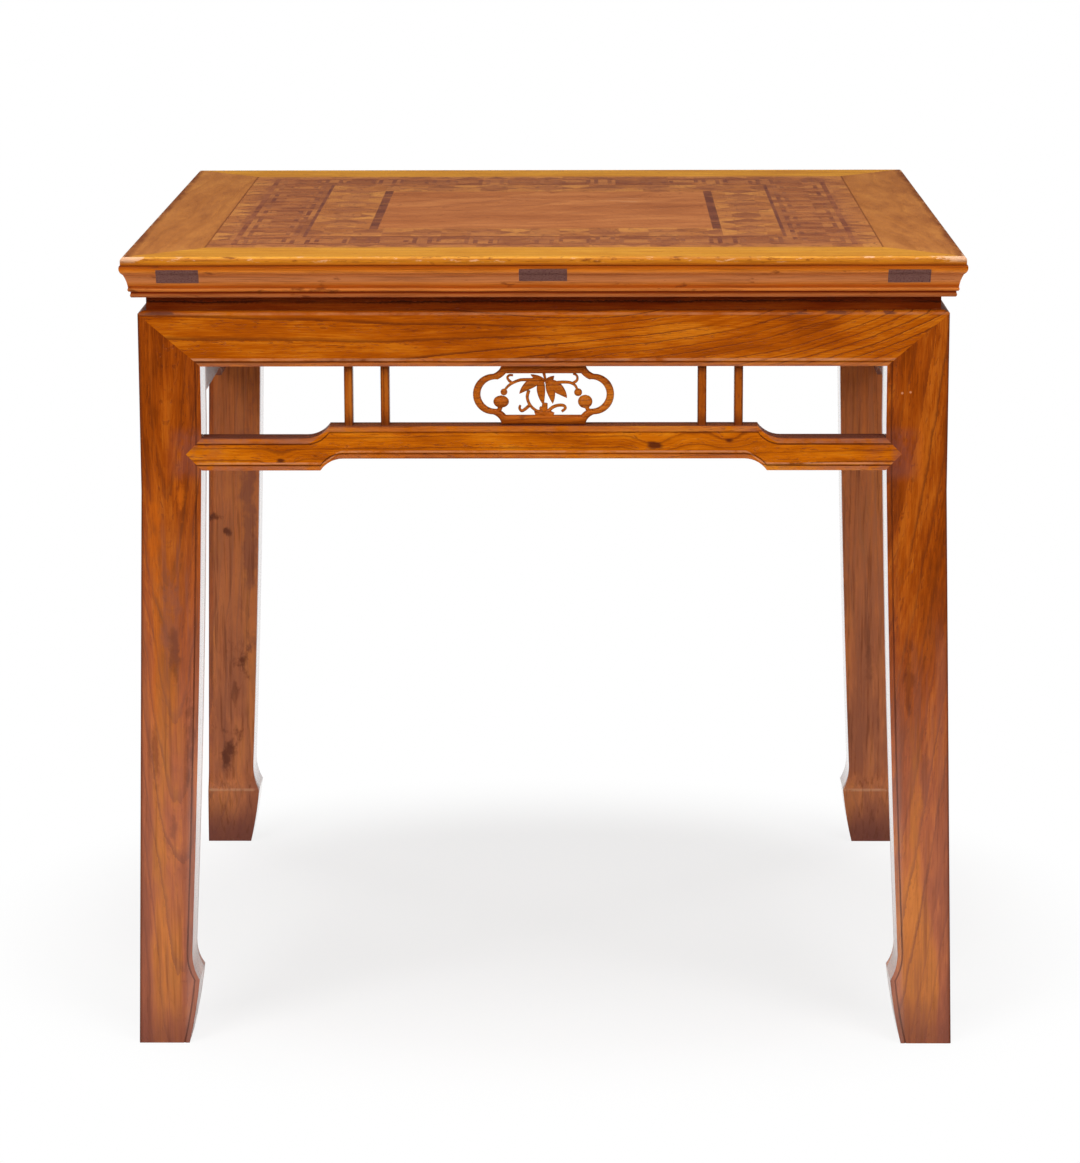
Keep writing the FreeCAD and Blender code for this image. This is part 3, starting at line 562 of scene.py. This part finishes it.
# pairs say where a mark begins and where it is full
apronWear = {  # heights from its lower edge
    "score": 0.0048, "paleMark": 0.0074, "bead": (0.0046, 0.0034), "foot": (0.0034, 0.0004),
}
stretcherWear = {
    # along it from the middle: the rise of both edges to the hump, and the shoulders over the legs
    "footHump": (0.245, 0.220), "crownHump": (0.235, 0.260), "shoulder": (0.345, 0.385),
    # from the lower or upper edge
    "footBead": (0.0052, 0.0042), "crownBead": (0.0064, 0.0054), "paleMark": 0.0078, "crest": (0.0014, 0.0004),
}
strutWear = {  # heights, and distances from its edges
    "foot": (0.722, 0.703), "head": (0.752, 0.766), "edge": (0.0022, 0.0004),
}


def scored(depth):
    # the bottom of a scored line lies a little behind the face it is cut in
    return depth.band(0.0008, 0.0003, 0.0003)


def apronMarks(f, parts):
    # dirt in the scored line, a pale line above it, wear along the foot, a pale line and dark spots along the
    # shoulder, and painted shade along the top edge under the waist
    x, y, z = parts
    wear = apronWear
    depth = baseFace - abs(x).larger(abs(y))
    blot = f.noise(parts, (34, 34, 34), 4, 0.6)
    outside = depth.step(0.006, 0.003)
    height = z - apronLow.z
    bead = height.step(*wear["bead"]) * outside
    yield bead * 0.5, dirtAndShadeLook["bead"]
    # a pale line above the scored line
    pale = height.band(wear["paleMark"], 0.0008, 0.0012) * outside * blot.step(0.20, 0.75)
    yield pale * 0.75, dirtAndShadeLook["paleMark"]
    foot = height.step(*wear["foot"]) * outside * blot.step(0.40, 0.60)
    yield foot * 0.6, dirtAndShadeLook["purple"]
    dark = height.band(wear["score"], 0.0006, 0.0006) * depth.step(0.0022, 0.0014)
    yield dark * 0.35, dirtAndShadeLook["line"]
    # a pale line along the brow
    brow = z.band(shoulderFoot, 0.0006, 0.0014) * blot.step(0.25, 0.75)
    yield brow * 0.5, dirtAndShadeLook["paleMark"]
    spots = z.band(shoulderFoot + 0.0008, 0.0012, 0.0010) * f.noise(parts, (24, 24, 24), 2).step(0.62, 0.66)
    yield spots * 0.7, dirtAndShadeLook["grime"]
    # painted shade along the top edge, under the waist
    deep = z.step(apronHigh.z - 0.0016, apronHigh.z)
    yield deep * 0.8, dirtAndShadeLook["line"]


def stretcherMarks(f, parts):
    # dirt in the scored lines and round the pointed shoulders; dirt and painted shade on the upper and inner
    # faces and on the crest towards the ends
    x, y, z = parts
    wear = stretcherWear
    depth = baseFace - abs(x).larger(abs(y))
    along = abs(x).smaller(abs(y))
    blot = f.noise(parts, (40, 40, 40), 4, 0.65)
    foot = z - stretcherLow.z - along.step(*wear["footHump"]) * humpRise
    crown = stretcherHigh.z - along.step(*wear["crownHump"]) * humpRise - z
    bead = foot.step(*wear["footBead"]).larger(crown.step(*wear["crownBead"]))
    bead = bead * blot.step(0.30, 0.60) * (along.step(0.16, 0.28) * 0.4 + 0.25)
    yield bead, dirtAndShadeLook["worn"]
    # a pale line above the lower scored line
    pale = foot.band(wear["paleMark"], 0.0005, 0.0010) * blot.step(0.30, 0.55)
    yield pale * 0.6, dirtAndShadeLook["paleMark"]
    # dirt and painted shade: darker on the upper and inner faces, behind the front one
    yield depth.step(0.0012, 0.0030) * 0.75, dirtAndShadeLook["grime"]
    yield scored(depth) * (along.step(0.18, 0.30) * 0.35 + 0.35), dirtAndShadeLook["line"]
    # dirt and painted shade on the crest towards the ends
    crest = crown.step(*wear["crest"]) * along.step(0.22, 0.30)
    yield crest * 0.6, dirtAndShadeLook["grime"]
    worn = along.step(*wear["shoulder"]) * blot.step(0.34, 0.62)
    yield worn * 0.6, dirtAndShadeLook["purple"]
    paleMark = (along.step(0.30, 0.36) + (z - stretcherLow.z).step(0.004, 0.001)).smaller(1.0)
    paleMark = paleMark * blot.step(0.60, 0.68) * depth.step(0.002, 0.001)
    yield paleMark * 0.5, dirtAndShadeLook["paleMark"]


def strutMarks(f, parts):
    # darker along the edges and towards both ends, where it meets the apron and the stretcher
    x, y, z = parts
    wear = strutWear
    along = abs(x).smaller(abs(y))
    off = abs(along - strutMiddles[0]).smaller(abs(along - strutMiddles[1]))
    yield (strutHalf - off).step(*wear["edge"]) * 0.6, dirtAndShadeLook["line"]
    ends = z.step(*wear["foot"]) + z.step(*wear["head"])
    yield ends * 0.45, dirtAndShadeLook["line"]


def dressSides():
    # each board's pith lies on its own side of the table, which is +X for the right and +Y for the back
    marks = {"apron": (apronMarks,), "stretcher": (stretcherMarks,), "waist": ()}
    for index, side in enumerate(sideNames):
        flip = -1 if side in ("right", "back") else 1
        for piece, layers in marks.items():
            look = dict(sideLook[piece])
            look["seed"] = look.get("seed", 0.0) + 2.3 * index
            look["pith"] = (look["pith"][0], flip * look["pith"][1])
            look["dive"] = flip * look["dive"]
            if side in ("right", "left"):
                look["axes"] = "yzx"
            finishNodes(elm(piece + "Elm" + side.title(), look, layers), [f"{piece}_{side}"])
    struts = [f"strut_{number}_{side}" for number in range(1, 5) for side in sideNames]
    finishNodes(elm("strutElm", sideLook["strut"], (strutMarks,)), struts)
    print("sides dressed")


legLook = {
    "grain": {"axes": "zxy", "ringGap": 0.0100, "wander": 0.030, "ripple": 0.004, "shade": rgb(116, 48, 6),
              "body": rgb(150, 66, 8), "glow": rgb(176, 90, 20), "line": rgb(88, 38, 16), "lineWeight": 0.7,
              "contrast": 1.45, "roughness": 0.17},
    # for each corner: the pith across the leg and into it, how it dives and how the rings narrow, the heights
    # between which the wax wears off and a painted floor reflection pales the wood, and how dirty the foot is
    "front_left": {"pith": (0.409, 0.4286), "dive": 0.01, "taper": 0.09, "fade": (0.78, 0.30), "grime": 0.7},
    "front_right": {"pith": (0.33, 0.33), "dive": 0.02, "taper": 0.10, "fade": (0.62, 0.24), "grime": 0.7},
    "back_right": {"pith": (0.34, 0.50), "dive": 0.03, "taper": -0.03, "fade": (0.90, 0.10), "grime": 0.9},
    "back_left": {"pith": (0.47, 0.34), "dive": 0.03, "taper": 0.05, "fade": (0.90, 0.10), "grime": 0.9},
    # golden and dusty: the bared lower half, partly a painted floor reflection; inner: a painted reflection
    # on the inner faces
    "golden": rgb(214, 140, 80), "dustAndReflection": rgb(190, 120, 92), "patchy": rgb(134, 78, 58),
    "foot": rgb(118, 66, 54), "inner": rgb(206, 128, 78), "edge": rgb(98, 44, 22), "streak": rgb(100, 50, 26),
    "knot": rgb(78, 36, 24), "flame": rgb(196, 96, 18), "hoofEdge": rgb(198, 146, 108),
    "hoofTop": 0.0735, "ankle": (0.105, 0.045),  # heights: the hoof's tip, and where the foot darkens
    "joint": 0.6705,  # height of the stretchers' ends
    "innerFace": (0.052, 0.060),  # depths behind the outer faces at which the inner ones begin
    "dots": ((0.392, 0.738), (0.401, 0.739)), "dotSize": (0.0017, 0.0008),  # pale, on the front right leg
}
legBlots = {  # x, z, size, how many times taller than wide, colour and weight
    "front_left": [
        (-0.4144, 0.483, 0.0075, 5.0, "patchy", 0.6), (-0.409, 0.438, 0.004, 8.0, "knot", 0.35),
        (-0.400, 0.620, 0.004, 4.0, "flame", 0.7), (-0.429, 0.560, 0.006, 7.0, "flame", 0.5),
        (-0.412, 0.253, 0.004, 2.4, "patchy", 0.7), (-0.394, 0.352, 0.005, 7.0, "knot", 0.4),
        (-0.432, 0.330, 0.004, 8.0, "knot", 0.4),
    ],
    "front_right": [
        (0.404, 0.410, 0.004, 9.0, "knot", 0.5), (0.423, 0.300, 0.005, 6.0, "patchy", 0.5),
    ],
    "back_right": [
        (0.420, 0.250, 0.004, 6.0, "knot", 0.3),
    ],
    "back_left": [
        (-0.408, 0.250, 0.010, 2.0, "knot", 0.75), (-0.425, 0.128, 0.012, 1.5, "knot", 0.75),
        (-0.436, 0.443, 0.007, 0.6, "knot", 0.8), (-0.424, 0.425, 0.007, 0.6, "knot", 0.8),
        (-0.395, 0.420, 0.009, 14.0, "patchy", 0.7), (-0.418, 0.190, 0.003, 12.0, "knot", 0.4),
    ],
}


def legPlaces(f, parts, fade):
    # what the leg's marks share: how deep a place lies behind the two outer faces, which lean out below
    # leanStart, whether it is on an inner face, three noises, and how far the wax is gone and a painted floor
    # reflection pales the wood
    x, y, z = parts
    face = (1 - z / leanStart).larger(0.0) * legLean + baseFace
    deepX, deepY = face - abs(x), face - abs(y)
    across = deepX.larger(deepY)
    patch = f.noise(parts, (22, 22, 8), 4, 0.6)
    return {"deepX": deepX, "deepY": deepY, "across": across, "patch": patch,
            "inner": across.step(*legLook["innerFace"]) * deepX.smaller(deepY).step(0.004, 0.008),
            "blot": f.noise(parts, (50, 50, 30), 4, 0.65), "stain": f.noise(parts, (34, 34, 6), 4, 0.6),
            "low": (z + patch * 0.16).step(*fade)}


def bareWoodAndReflections(f, parts, place):
    # the wax has gone from the lower half: golden and dusty wood, paler also from a painted floor reflection,
    # its ring lines, and ribbons of old wax; the inner faces get a pale painted reflection
    look, low, across = legLook, place["low"], place["across"]
    margin = across.step(0.022, 0.006) * 0.22 + across.step(0.040, 0.056) * 0.14
    stained = place["stain"] + margin
    paleLower = f.mix(stained.step(0.46, 0.66), look["golden"], look["dustAndReflection"])
    # the lower half paler: bare wood and a painted floor reflection
    yield low * 0.48, paleLower
    yield f.grainLine * low * 0.6, look["patchy"]
    ribbon = f.noise(parts, (120, 120, 4), 4, 0.6) + across.step(0.010, 0.003) * 0.10
    yield ribbon.step(0.50, 0.62) * low.step(0.0, 0.3) * 0.45, look["patchy"]
    yield ribbon.step(0.46, 0.36) * low.step(1.0, 0.5) * 0.30, look["flame"]
    # painted reflection: the inner faces paler
    yield place["inner"] * 0.34, look["inner"]
    grimy = stained.step(0.60, 0.74) * parts[2].step(0.46, 0.12)
    yield grimy * 0.45, look["foot"]


def footDirt(parts, place, grime, blots):
    # a dark foot, the leg's own blots, and a rubbed line round the hoof's tip
    x, _, z = parts
    look = legLook
    foot = (z + place["patch"] * 0.07).step(*look["ankle"])
    yield foot * grime, look["foot"]
    for blotX, blotZ, size, tall, tint, weight in blots:
        away = ((x - blotX) * (x - blotX) + (z - blotZ) * (z - blotZ) / (tall * tall)).sqrt() / size
        spot = (away + (place["blot"] - 0.5) * 6.0).step(1.5, 0.3)
        yield spot * weight, look[tint]
    rub = z.band(look["hoofTop"], 0.0012, 0.0010) * place["blot"].step(0.34, 0.56)
    yield rub * ((grime - 0.7) * 2.8), look["hoofEdge"]


def edgeDirt(f, parts, place):
    # dirt in the scored lines, along the arris, in long streaks and round the stretchers' shoulders, and the
    # two pale dots by the apron
    x, y, z = parts
    look, blot, low = legLook, place["blot"], place["low"]
    score = scored(place["deepX"]).larger(scored(place["deepY"]))
    yield score * (blot * 0.6 + 0.1 + low * 0.2), dirtAndShadeLook["line"]
    arris = (place["deepX"] + place["deepY"]).step(0.0036, 0.0012)
    yield arris * 0.6, look["edge"]
    streak = f.noise(parts, (230, 230, 5), 3, 0.6).step(0.50, 0.68)
    yield streak * (low * 0.2 + place["inner"] * 0.3 + 0.12).smaller(0.45), look["streak"]
    joint = z.band(look["joint"], 0.018, 0.016) * place["across"].step(0.024, 0.048) * blot.step(0.32, 0.54)
    yield joint * 0.45, dirtAndShadeLook["purple"]
    for dotX, dotZ in look["dots"]:
        away = ((x - dotX) * (x - dotX) + (z - dotZ) * (z - dotZ)).sqrt() + y.step(-0.43, -0.42)
        yield away.step(*look["dotSize"]) * 0.8, dirtAndShadeLook["paleMark"]


def legMarks(corner):
    # the marks of one leg; wax shines on the inner faces that look to the left and right
    def marks(f, parts):
        place = legPlaces(f, parts, legLook[corner]["fade"])
        f.wax = place["deepX"].step(0.050, 0.056) * place["deepY"].step(0.058, 0.050)
        yield from bareWoodAndReflections(f, parts, place)
        yield from footDirt(parts, place, legLook[corner]["grime"], legBlots[corner])
        yield from edgeDirt(f, parts, place)
    return marks


def dressLegs():
    for index, corner in enumerate(["front_left", "front_right", "back_right", "back_left"]):
        signX = 1 if "right" in corner else -1
        signY = 1 if "back" in corner else -1
        own = legLook[corner]
        grain = {**legLook["grain"], "pith": (signX * own["pith"][0], signY * own["pith"][1]),
                 "dive": signY * own["dive"], "taper": own["taper"], "seed": 1.3 * index}
        name = "legElm" + corner.title().replace("_", "")
        finishNodes(elm(name, grain, (legMarks(corner),)), ["leg_" + corner])
    print("legs dressed")


medallionLook = {
    "width": ringHigh.x - ringLow.x, "height": ringHigh.z - ringLow.z, "thick": ringHigh.y - ringLow.y,
    "depth": -(ringLow.y + ringHigh.y) / 2, "middle": (ringLow.z + ringHigh.z) / 2,
    # the ring: its outline's flats and cusps, its width at the bars and the lobes, and its opening's
    "flat": 0.092, "cusp": (0.0555, 0.0222), "bar": 0.010, "band": 0.0084,
    "openFlat": 0.0412, "openCusp": (0.0502, 0.0165), "coveSag": 0.002, "openSag": 0.0006,
    # half widths of the thick and the thin vines, and half depths of vines, leaves (stem and tip) and gourds
    "vine": 0.0017, "curl": 0.0014, "vineDeep": 0.0034, "leafDeep": (0.0044, 0.0022), "gourdDeep": 0.0055,
    "ringSharp": 40, "vineSharp": 50,  # degrees
    "grain": {"axes": "xzy", "pith": (0.6, -0.4), "ringGap": 0.006, "seed": 9.0,
              "shade": rgb(150, 66, 8), "body": rgb(182, 92, 16), "glow": rgb(204, 118, 32)},
}
bambooLook = {"axes": "zxy", "roughness": 0.5,
              "shade": rgb(170, 130, 70), "body": rgb(190, 150, 90), "glow": rgb(205, 170, 110)}


def begoniaLine(share, steps=14):
    # a closed outline, share 0 outside and 1 at the opening: straight flats, coves as chords that sag by a
    # parabola, and lobes as arcs through the cusps and the tip; one quarter is mirrored down and across
    look = medallionLook
    flat = np.array([look["flat"] / 2 * (1 - share) + look["openFlat"] * share,
                     look["height"] / 2 - look["bar"] * share])
    cusp = np.array(look["cusp"]) * (1 - share) + np.array(look["openCusp"]) * share
    tip = look["width"] / 2 - look["band"] * share
    t = np.linspace(0, 1, steps, endpoint=False)[:, None]
    top = np.array([0, flat[1]]) + t * np.array([flat[0], 0])
    chord = cusp - flat
    normal = np.array([-chord[1], chord[0]]) / np.hypot(*chord)
    sag = look["coveSag"] * (1 - share) + look["openSag"] * share
    cove = flat + t * chord - normal * 4 * sag * t * (1 - t)
    radius = (cusp[1] ** 2 + (tip - cusp[0]) ** 2) / (2 * (tip - cusp[0]))
    start = math.atan2(cusp[1], cusp[0] - tip + radius)
    angle = start * (1 - np.linspace(0, 1, steps + 1)[:, None])
    lobe = np.concatenate([tip - radius + radius * np.cos(angle), radius * np.sin(angle)], axis=1)
    quarter = np.concatenate([top, cove, lobe])
    half = np.concatenate([quarter, quarter[-2::-1] * [1, -1]])
    return np.concatenate([half, half[-2:0:-1] * [-1, 1]])


def sectionLoop(count, power):
    # a superellipse: signed powers of cosine and sine round the section
    angle = np.linspace(0, 2 * math.pi, count, endpoint=False)
    return [np.sign(f(angle)) * np.abs(f(angle)) ** power for f in (np.cos, np.sin)]


def gridFaces(rows, columns, closedRows):
    # quads between neighbouring rows and columns; columns always close on themselves
    i = np.arange(rows if closedRows else rows - 1)[:, None]
    j = np.arange(columns)[None, :]
    nextRow, nextColumn = (i + 1) % rows, (j + 1) % columns
    corners = [i * columns + j, i * columns + nextColumn,
               nextRow * columns + nextColumn, nextRow * columns + j]
    return np.stack([np.broadcast_to(c, (len(i), columns)) for c in corners], axis=-1).reshape(-1, 4)


def ringArrays():
    # the middle between outline and opening, plus half their distance times a superellipse's cosine, and half
    # the thickness times its sine
    outside, inside = begoniaLine(0.0), begoniaLine(1.0)
    centre, reach = (outside + inside) / 2, (outside - inside) / 2
    wide, deep = sectionLoop(20, 0.62)
    flat = centre[:, None, :] + reach[:, None, :] * wide[None, :, None]
    y = np.broadcast_to(medallionLook["thick"] / 2 * deep[None, :], flat.shape[:2])
    points = np.stack([flat[..., 0], y, flat[..., 1]], axis=-1).reshape(-1, 3)
    return points, gridFaces(len(centre), len(wide), True).tolist()


def spot(u, w):
    # a place in percent of the half width and half height
    return np.array([u / 100 * medallionLook["width"] / 2, w / 100 * medallionLook["height"] / 2])


def smoothPath(places, steps):
    # a Catmull-Rom curve: a cubic between each two places, with slopes from their neighbours
    p = np.array([spot(*place) for place in places])
    p = np.concatenate([2 * p[:1] - p[1:2], p, 2 * p[-1:] - p[-2:-1]])
    t = np.linspace(0, 1, steps, endpoint=False)[None, :, None]
    a, b, c, d = [p[i:len(p) - 3 + i][:, None, :] for i in range(4)]
    curve = 0.5 * (2 * b + (c - a) * t + (2 * a - 5 * b + 4 * c - d) * t ** 2
                   + (3 * b - a - 3 * c + d) * t ** 3)
    return np.concatenate([curve.reshape(-1, 2), p[-2:-1]])


def limbArrays(path, halfWide, halfDeep, groove=0.0, count=12, power=0.85):
    # a superellipse carried along a path in the X-Z plane, half width times its cosine to the side and half
    # depth times its sine to the back; a groove lowers the front along the middle by a bell curve
    along = np.gradient(path, axis=0)
    along /= np.maximum(np.hypot(along[:, 0], along[:, 1]), 1e-9)[:, None]
    normal = np.stack([-along[:, 1], along[:, 0]], axis=1)
    wide, deep = sectionLoop(count, power)
    front = np.where(deep < 0, 1 - groove * np.exp(-(wide / 0.3) ** 2), 1.0)
    flat = path[:, None, :] + normal[:, None, :] * (halfWide[:, None] * wide[None, :])[..., None]
    depth = halfDeep[:, None] * (deep * front)[None, :]
    points = np.stack([flat[..., 0], depth, flat[..., 1]], axis=-1).reshape(-1, 3)
    return points, gridFaces(len(path), count, False), count


def vineLimb(places, half, steps=7):
    # half the width falls evenly from 1.15 to 0.8 times the given one
    path = smoothPath(places, steps)
    t = np.linspace(0, 1, len(path))
    return limbArrays(path, half * (1.15 - 0.35 * t), np.full(len(path), medallionLook["vineDeep"]))


def leafLimb(tip, half, start, bend=0.0):
    # a chord bent by a parabola; half the width is a power of the sine of a power of t, widest near the stem
    a, b = spot(*start), spot(*tip)
    t = np.linspace(0, 1, 16)
    side = np.array([-(b - a)[1], (b - a)[0]])
    path = a + (b - a) * t[:, None] + side * (bend * 4 * t * (1 - t))[:, None]
    wide = half * np.sin(math.pi * t ** 0.75) ** 0.8 + 0.0003
    stem, point = medallionLook["leafDeep"]
    return limbArrays(path, wide, stem + (point - stem) * t, groove=0.35, count=16)


def gourdLimb(place, radius, squash=1.0):
    # a ball: the half width is the radius times the root of 1 - t squared, on a straight path up and down
    t = np.linspace(-1, 1, 15)
    profile = np.sqrt(np.maximum(1 - t ** 2, 0.004))
    path = spot(*place) + np.stack([0 * t, t * radius * squash], axis=1)
    deep = min(radius, medallionLook["gourdDeep"])
    return limbArrays(path, radius * profile, deep * profile, count=20, power=1.0)


def vineLimbs():
    # leaves, the stem with its vines, curls and roots, and two double gourds
    half, curl = medallionLook["vine"], medallionLook["curl"]
    return [
        leafLimb((-34, 2), 0.0050, (-2, 50), -0.08), leafLimb((-18, 65), 0.0028, (2, 42)),
        leafLimb((0, -36), 0.0044, (-3, 54), -0.05), leafLimb((13, -31), 0.0044, (5, 44), 0.05),
        leafLimb((33, -12), 0.0058, (4, 42), 0.07), leafLimb((15, 60), 0.0034, (3, 34)),
        vineLimb([(0, 82), (1, 66), (3, 46)], half),
        vineLimb([(-10, 48), (-22, 48), (-33, 47), (-43, 38), (-50, 27), (-56, 10)], half),
        vineLimb([(8, 38), (16, 38), (28, 40), (38, 38), (45, 28), (49, 8)], half),
        vineLimb([(-60, -32), (-62, -48), (-64, -64)], half * 1.6),
        vineLimb([(59, -32), (62, -48), (65, -64)], half * 1.4),
        vineLimb([(-21, 12), (-23, -10), (-20, -33), (-13, -51), (-3, -62)], half),
        vineLimb([(-45, 38), (-49, 46), (-51, 56), (-48, 63), (-43, 63)], curl),
        vineLimb([(42, 37), (47, 45), (48, 56), (46, 64), (42, 68)], curl),
        vineLimb([(-20, -38), (-26, -50), (-31, -56), (-34, -47), (-33, -38)], curl * 1.2),
        vineLimb([(4, -62), (8, -54), (13, -44), (20, -38), (28, -38), (31, -47), (26, -58)], curl * 1.3),
        vineLimb([(-2, -64), (1, -52), (2, -30)], half * 2.2),
        vineLimb([(2, -58), (-2, -50), (-5, -44)], curl * 1.4),
        vineLimb([(-11, -72), (1, -62), (14, -72)], half * 2.6),
        gourdLimb((-60, -25), 0.0086, 0.80), gourdLimb((59, -25), 0.0080, 0.94),
        gourdLimb((-56, 7), 0.0038), gourdLimb((49, 6), 0.0044),
    ]


def joinLimbs(limbs):
    # one shell after another: each limb's quads, and a cap on its first and its last section
    points, faces, offset = [], [], 0
    for limbPoints, quads, count in limbs:
        section = np.arange(count)
        caps = np.array([section[::-1], section + len(limbPoints) - count])
        points.append(limbPoints)
        faces += (quads + offset).tolist() + (caps + offset).tolist()
        offset += len(limbPoints)
    return np.concatenate(points), faces


def carvedMarks(f, parts):
    # painted shade in the hollows, and brown wax in blots
    x, y, _ = parts
    depth = abs(x).larger(abs(y)) - medallionLook["depth"]
    blot = f.noise(parts, (60, 60, 60), 4, 0.6)
    # painted shade: darker the further back the carving lies
    yield depth.step(0.0030, -0.0030) * 0.45, dirtAndShadeLook["line"]
    yield blot.step(0.58, 0.70) * 0.35, dirtAndShadeLook["line"]


def buildMedallions(look):
    # the ring and the carving of each side are worked out about the origin and turned to their side
    finish = elm("carvedElm", look["grain"], (carvedMarks,))
    ringPoints, ringFaces = ringArrays()
    vinePoints, vineFaces = joinLimbs(vineLimbs())
    shift = np.array([0, -look["depth"], look["middle"]])
    for turns, side in enumerate(sideNames):
        ring = meshObject("medallionRing_" + side, quarterTurns(ringPoints + shift, turns), ringFaces,
                          look["ringSharp"])
        vine = meshObject("medallionVine_" + side, quarterTurns(vinePoints + shift, turns), vineFaces,
                          look["vineSharp"])
        for piece in (ring, vine):
            piece.data.materials.append(finish)
            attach(piece, "root")
        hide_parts("medallion_" + side)
    finishNodes(elm("bamboo", bambooLook), ["medallion_pins"])
    print("medallions carved")


stageLook = {
    "floor": (0.88, 0.88, 0.88, 1.0), "dimFloor": (0.10, 0.10, 0.10, 1.0), "size": 40.0,
    "sheet": (1.6, 2.6),  # distances between which the sheet goes over into the dim floor
    "whitening": 0.73,  # how much of the sheet the camera sees as plain white, near the table
    "fade": (0.42, 0.76),  # distances between which it becomes all white
    "behind": (-0.4, 0.4),  # from front to back, where the wood's reflections begin to see white too
    "world": 0.10,
}
lampLook = {
    "topLamp": {"place": (0.0, -0.6, 3.6), "size": 2.4, "power": 80.0, "aim": (0, 0, 0.5)},
    "backLeft": {"place": (-2.8, 3.0, 1.1), "size": 1.4, "power": 26.0, "aim": (0, 0, 0.4)},
    "backRight": {"place": (2.8, 3.0, 1.1), "size": 1.4, "power": 26.0, "aim": (0, 0, 0.4)},
    "keyLamp": {"place": (-2.4, -3.6, 2.9), "size": 2.2, "power": 104.0, "aim": (0, 0, 0.5)},
    "fillLamp": {"place": (2.4, -3.6, 2.7), "size": 2.2, "power": 88.0, "aim": (0, 0, 0.5)},
}
white = (1, 1, 1, 1)


def buildFloor(look):
    # a pale sheet round the table; further off the camera sees white, and what the wood reflects is dim
    half = look["size"] / 2
    points = np.array([(-half, -half, 0), (half, -half, 0), (half, half, 0), (-half, half, 0)])
    floor = meshObject("floor", points, [[0, 1, 2, 3]])
    f = Finish(bpy.data.materials.new("paleFloor"))
    x, y, _ = f.place()
    away = (x * x + y * y).sqrt()
    reflected = y.step(*look["behind"]) * f.node("ShaderNodeLightPath", output="Is Glossy Ray")
    seen = f.node("ShaderNodeLightPath", output="Is Camera Ray") + reflected
    tint = f.mix(away.step(*look["sheet"]), look["floor"], look["dimFloor"])
    matt = f.node("ShaderNodeBsdfDiffuse", inputs={"Color": tint})
    glow = f.node("ShaderNodeEmission", inputs={"Color": white, "Strength": 1.0})
    whiter = away.step(*look["fade"]) * (1 - look["whitening"]) + look["whitening"]
    both = f.node("ShaderNodeMixShader", inputs={0: whiter * seen, 1: matt, 2: glow})
    f.node("ShaderNodeOutputMaterial", inputs={"Surface": both})
    floor.data.materials.append(f.owner)


def buildLamp(name, look):
    # a square lamp, turned about X and then Z so that it faces its aim
    data = bpy.data.lights.new(name, "AREA")
    data.size = look["size"]
    data.energy = look["power"]
    lamp = bpy.data.objects.new(name, data)
    direction = np.array(look["aim"]) - np.array(look["place"])
    lamp.location = look["place"]
    lamp.rotation_euler = (math.atan2(math.hypot(direction[0], direction[1]), -direction[2]), 0,
                           math.atan2(direction[1], direction[0]) - math.pi / 2)
    bpy.context.scene.collection.objects.link(lamp)


def buildWorld(look):
    # a little light from all round, and white where the camera sees past the floor
    world = bpy.data.worlds.new("studio")
    f = Finish(world)
    dim = f.node("ShaderNodeBackground", inputs={"Color": white, "Strength": look["world"]})
    bright = f.node("ShaderNodeBackground", inputs={"Color": white, "Strength": 1.0})
    seen = f.node("ShaderNodeLightPath", output="Is Camera Ray")
    both = f.node("ShaderNodeMixShader", inputs={0: seen, 1: dim, 2: bright})
    f.node("ShaderNodeOutputWorld", inputs={"Surface": both})
    bpy.context.scene.world = world


buildCamera(cameraLook)
dressTop()
dressHidden()
dressParquetry()
dressSides()
dressLegs()
buildMedallions(medallionLook)
buildFloor(stageLook)
buildWorld(stageLook)
for lampName, lamp in lampLook.items():
    buildLamp(lampName, lamp)
bpy.context.scene.view_settings.view_transform = "Standard"
print("stage and light ready")
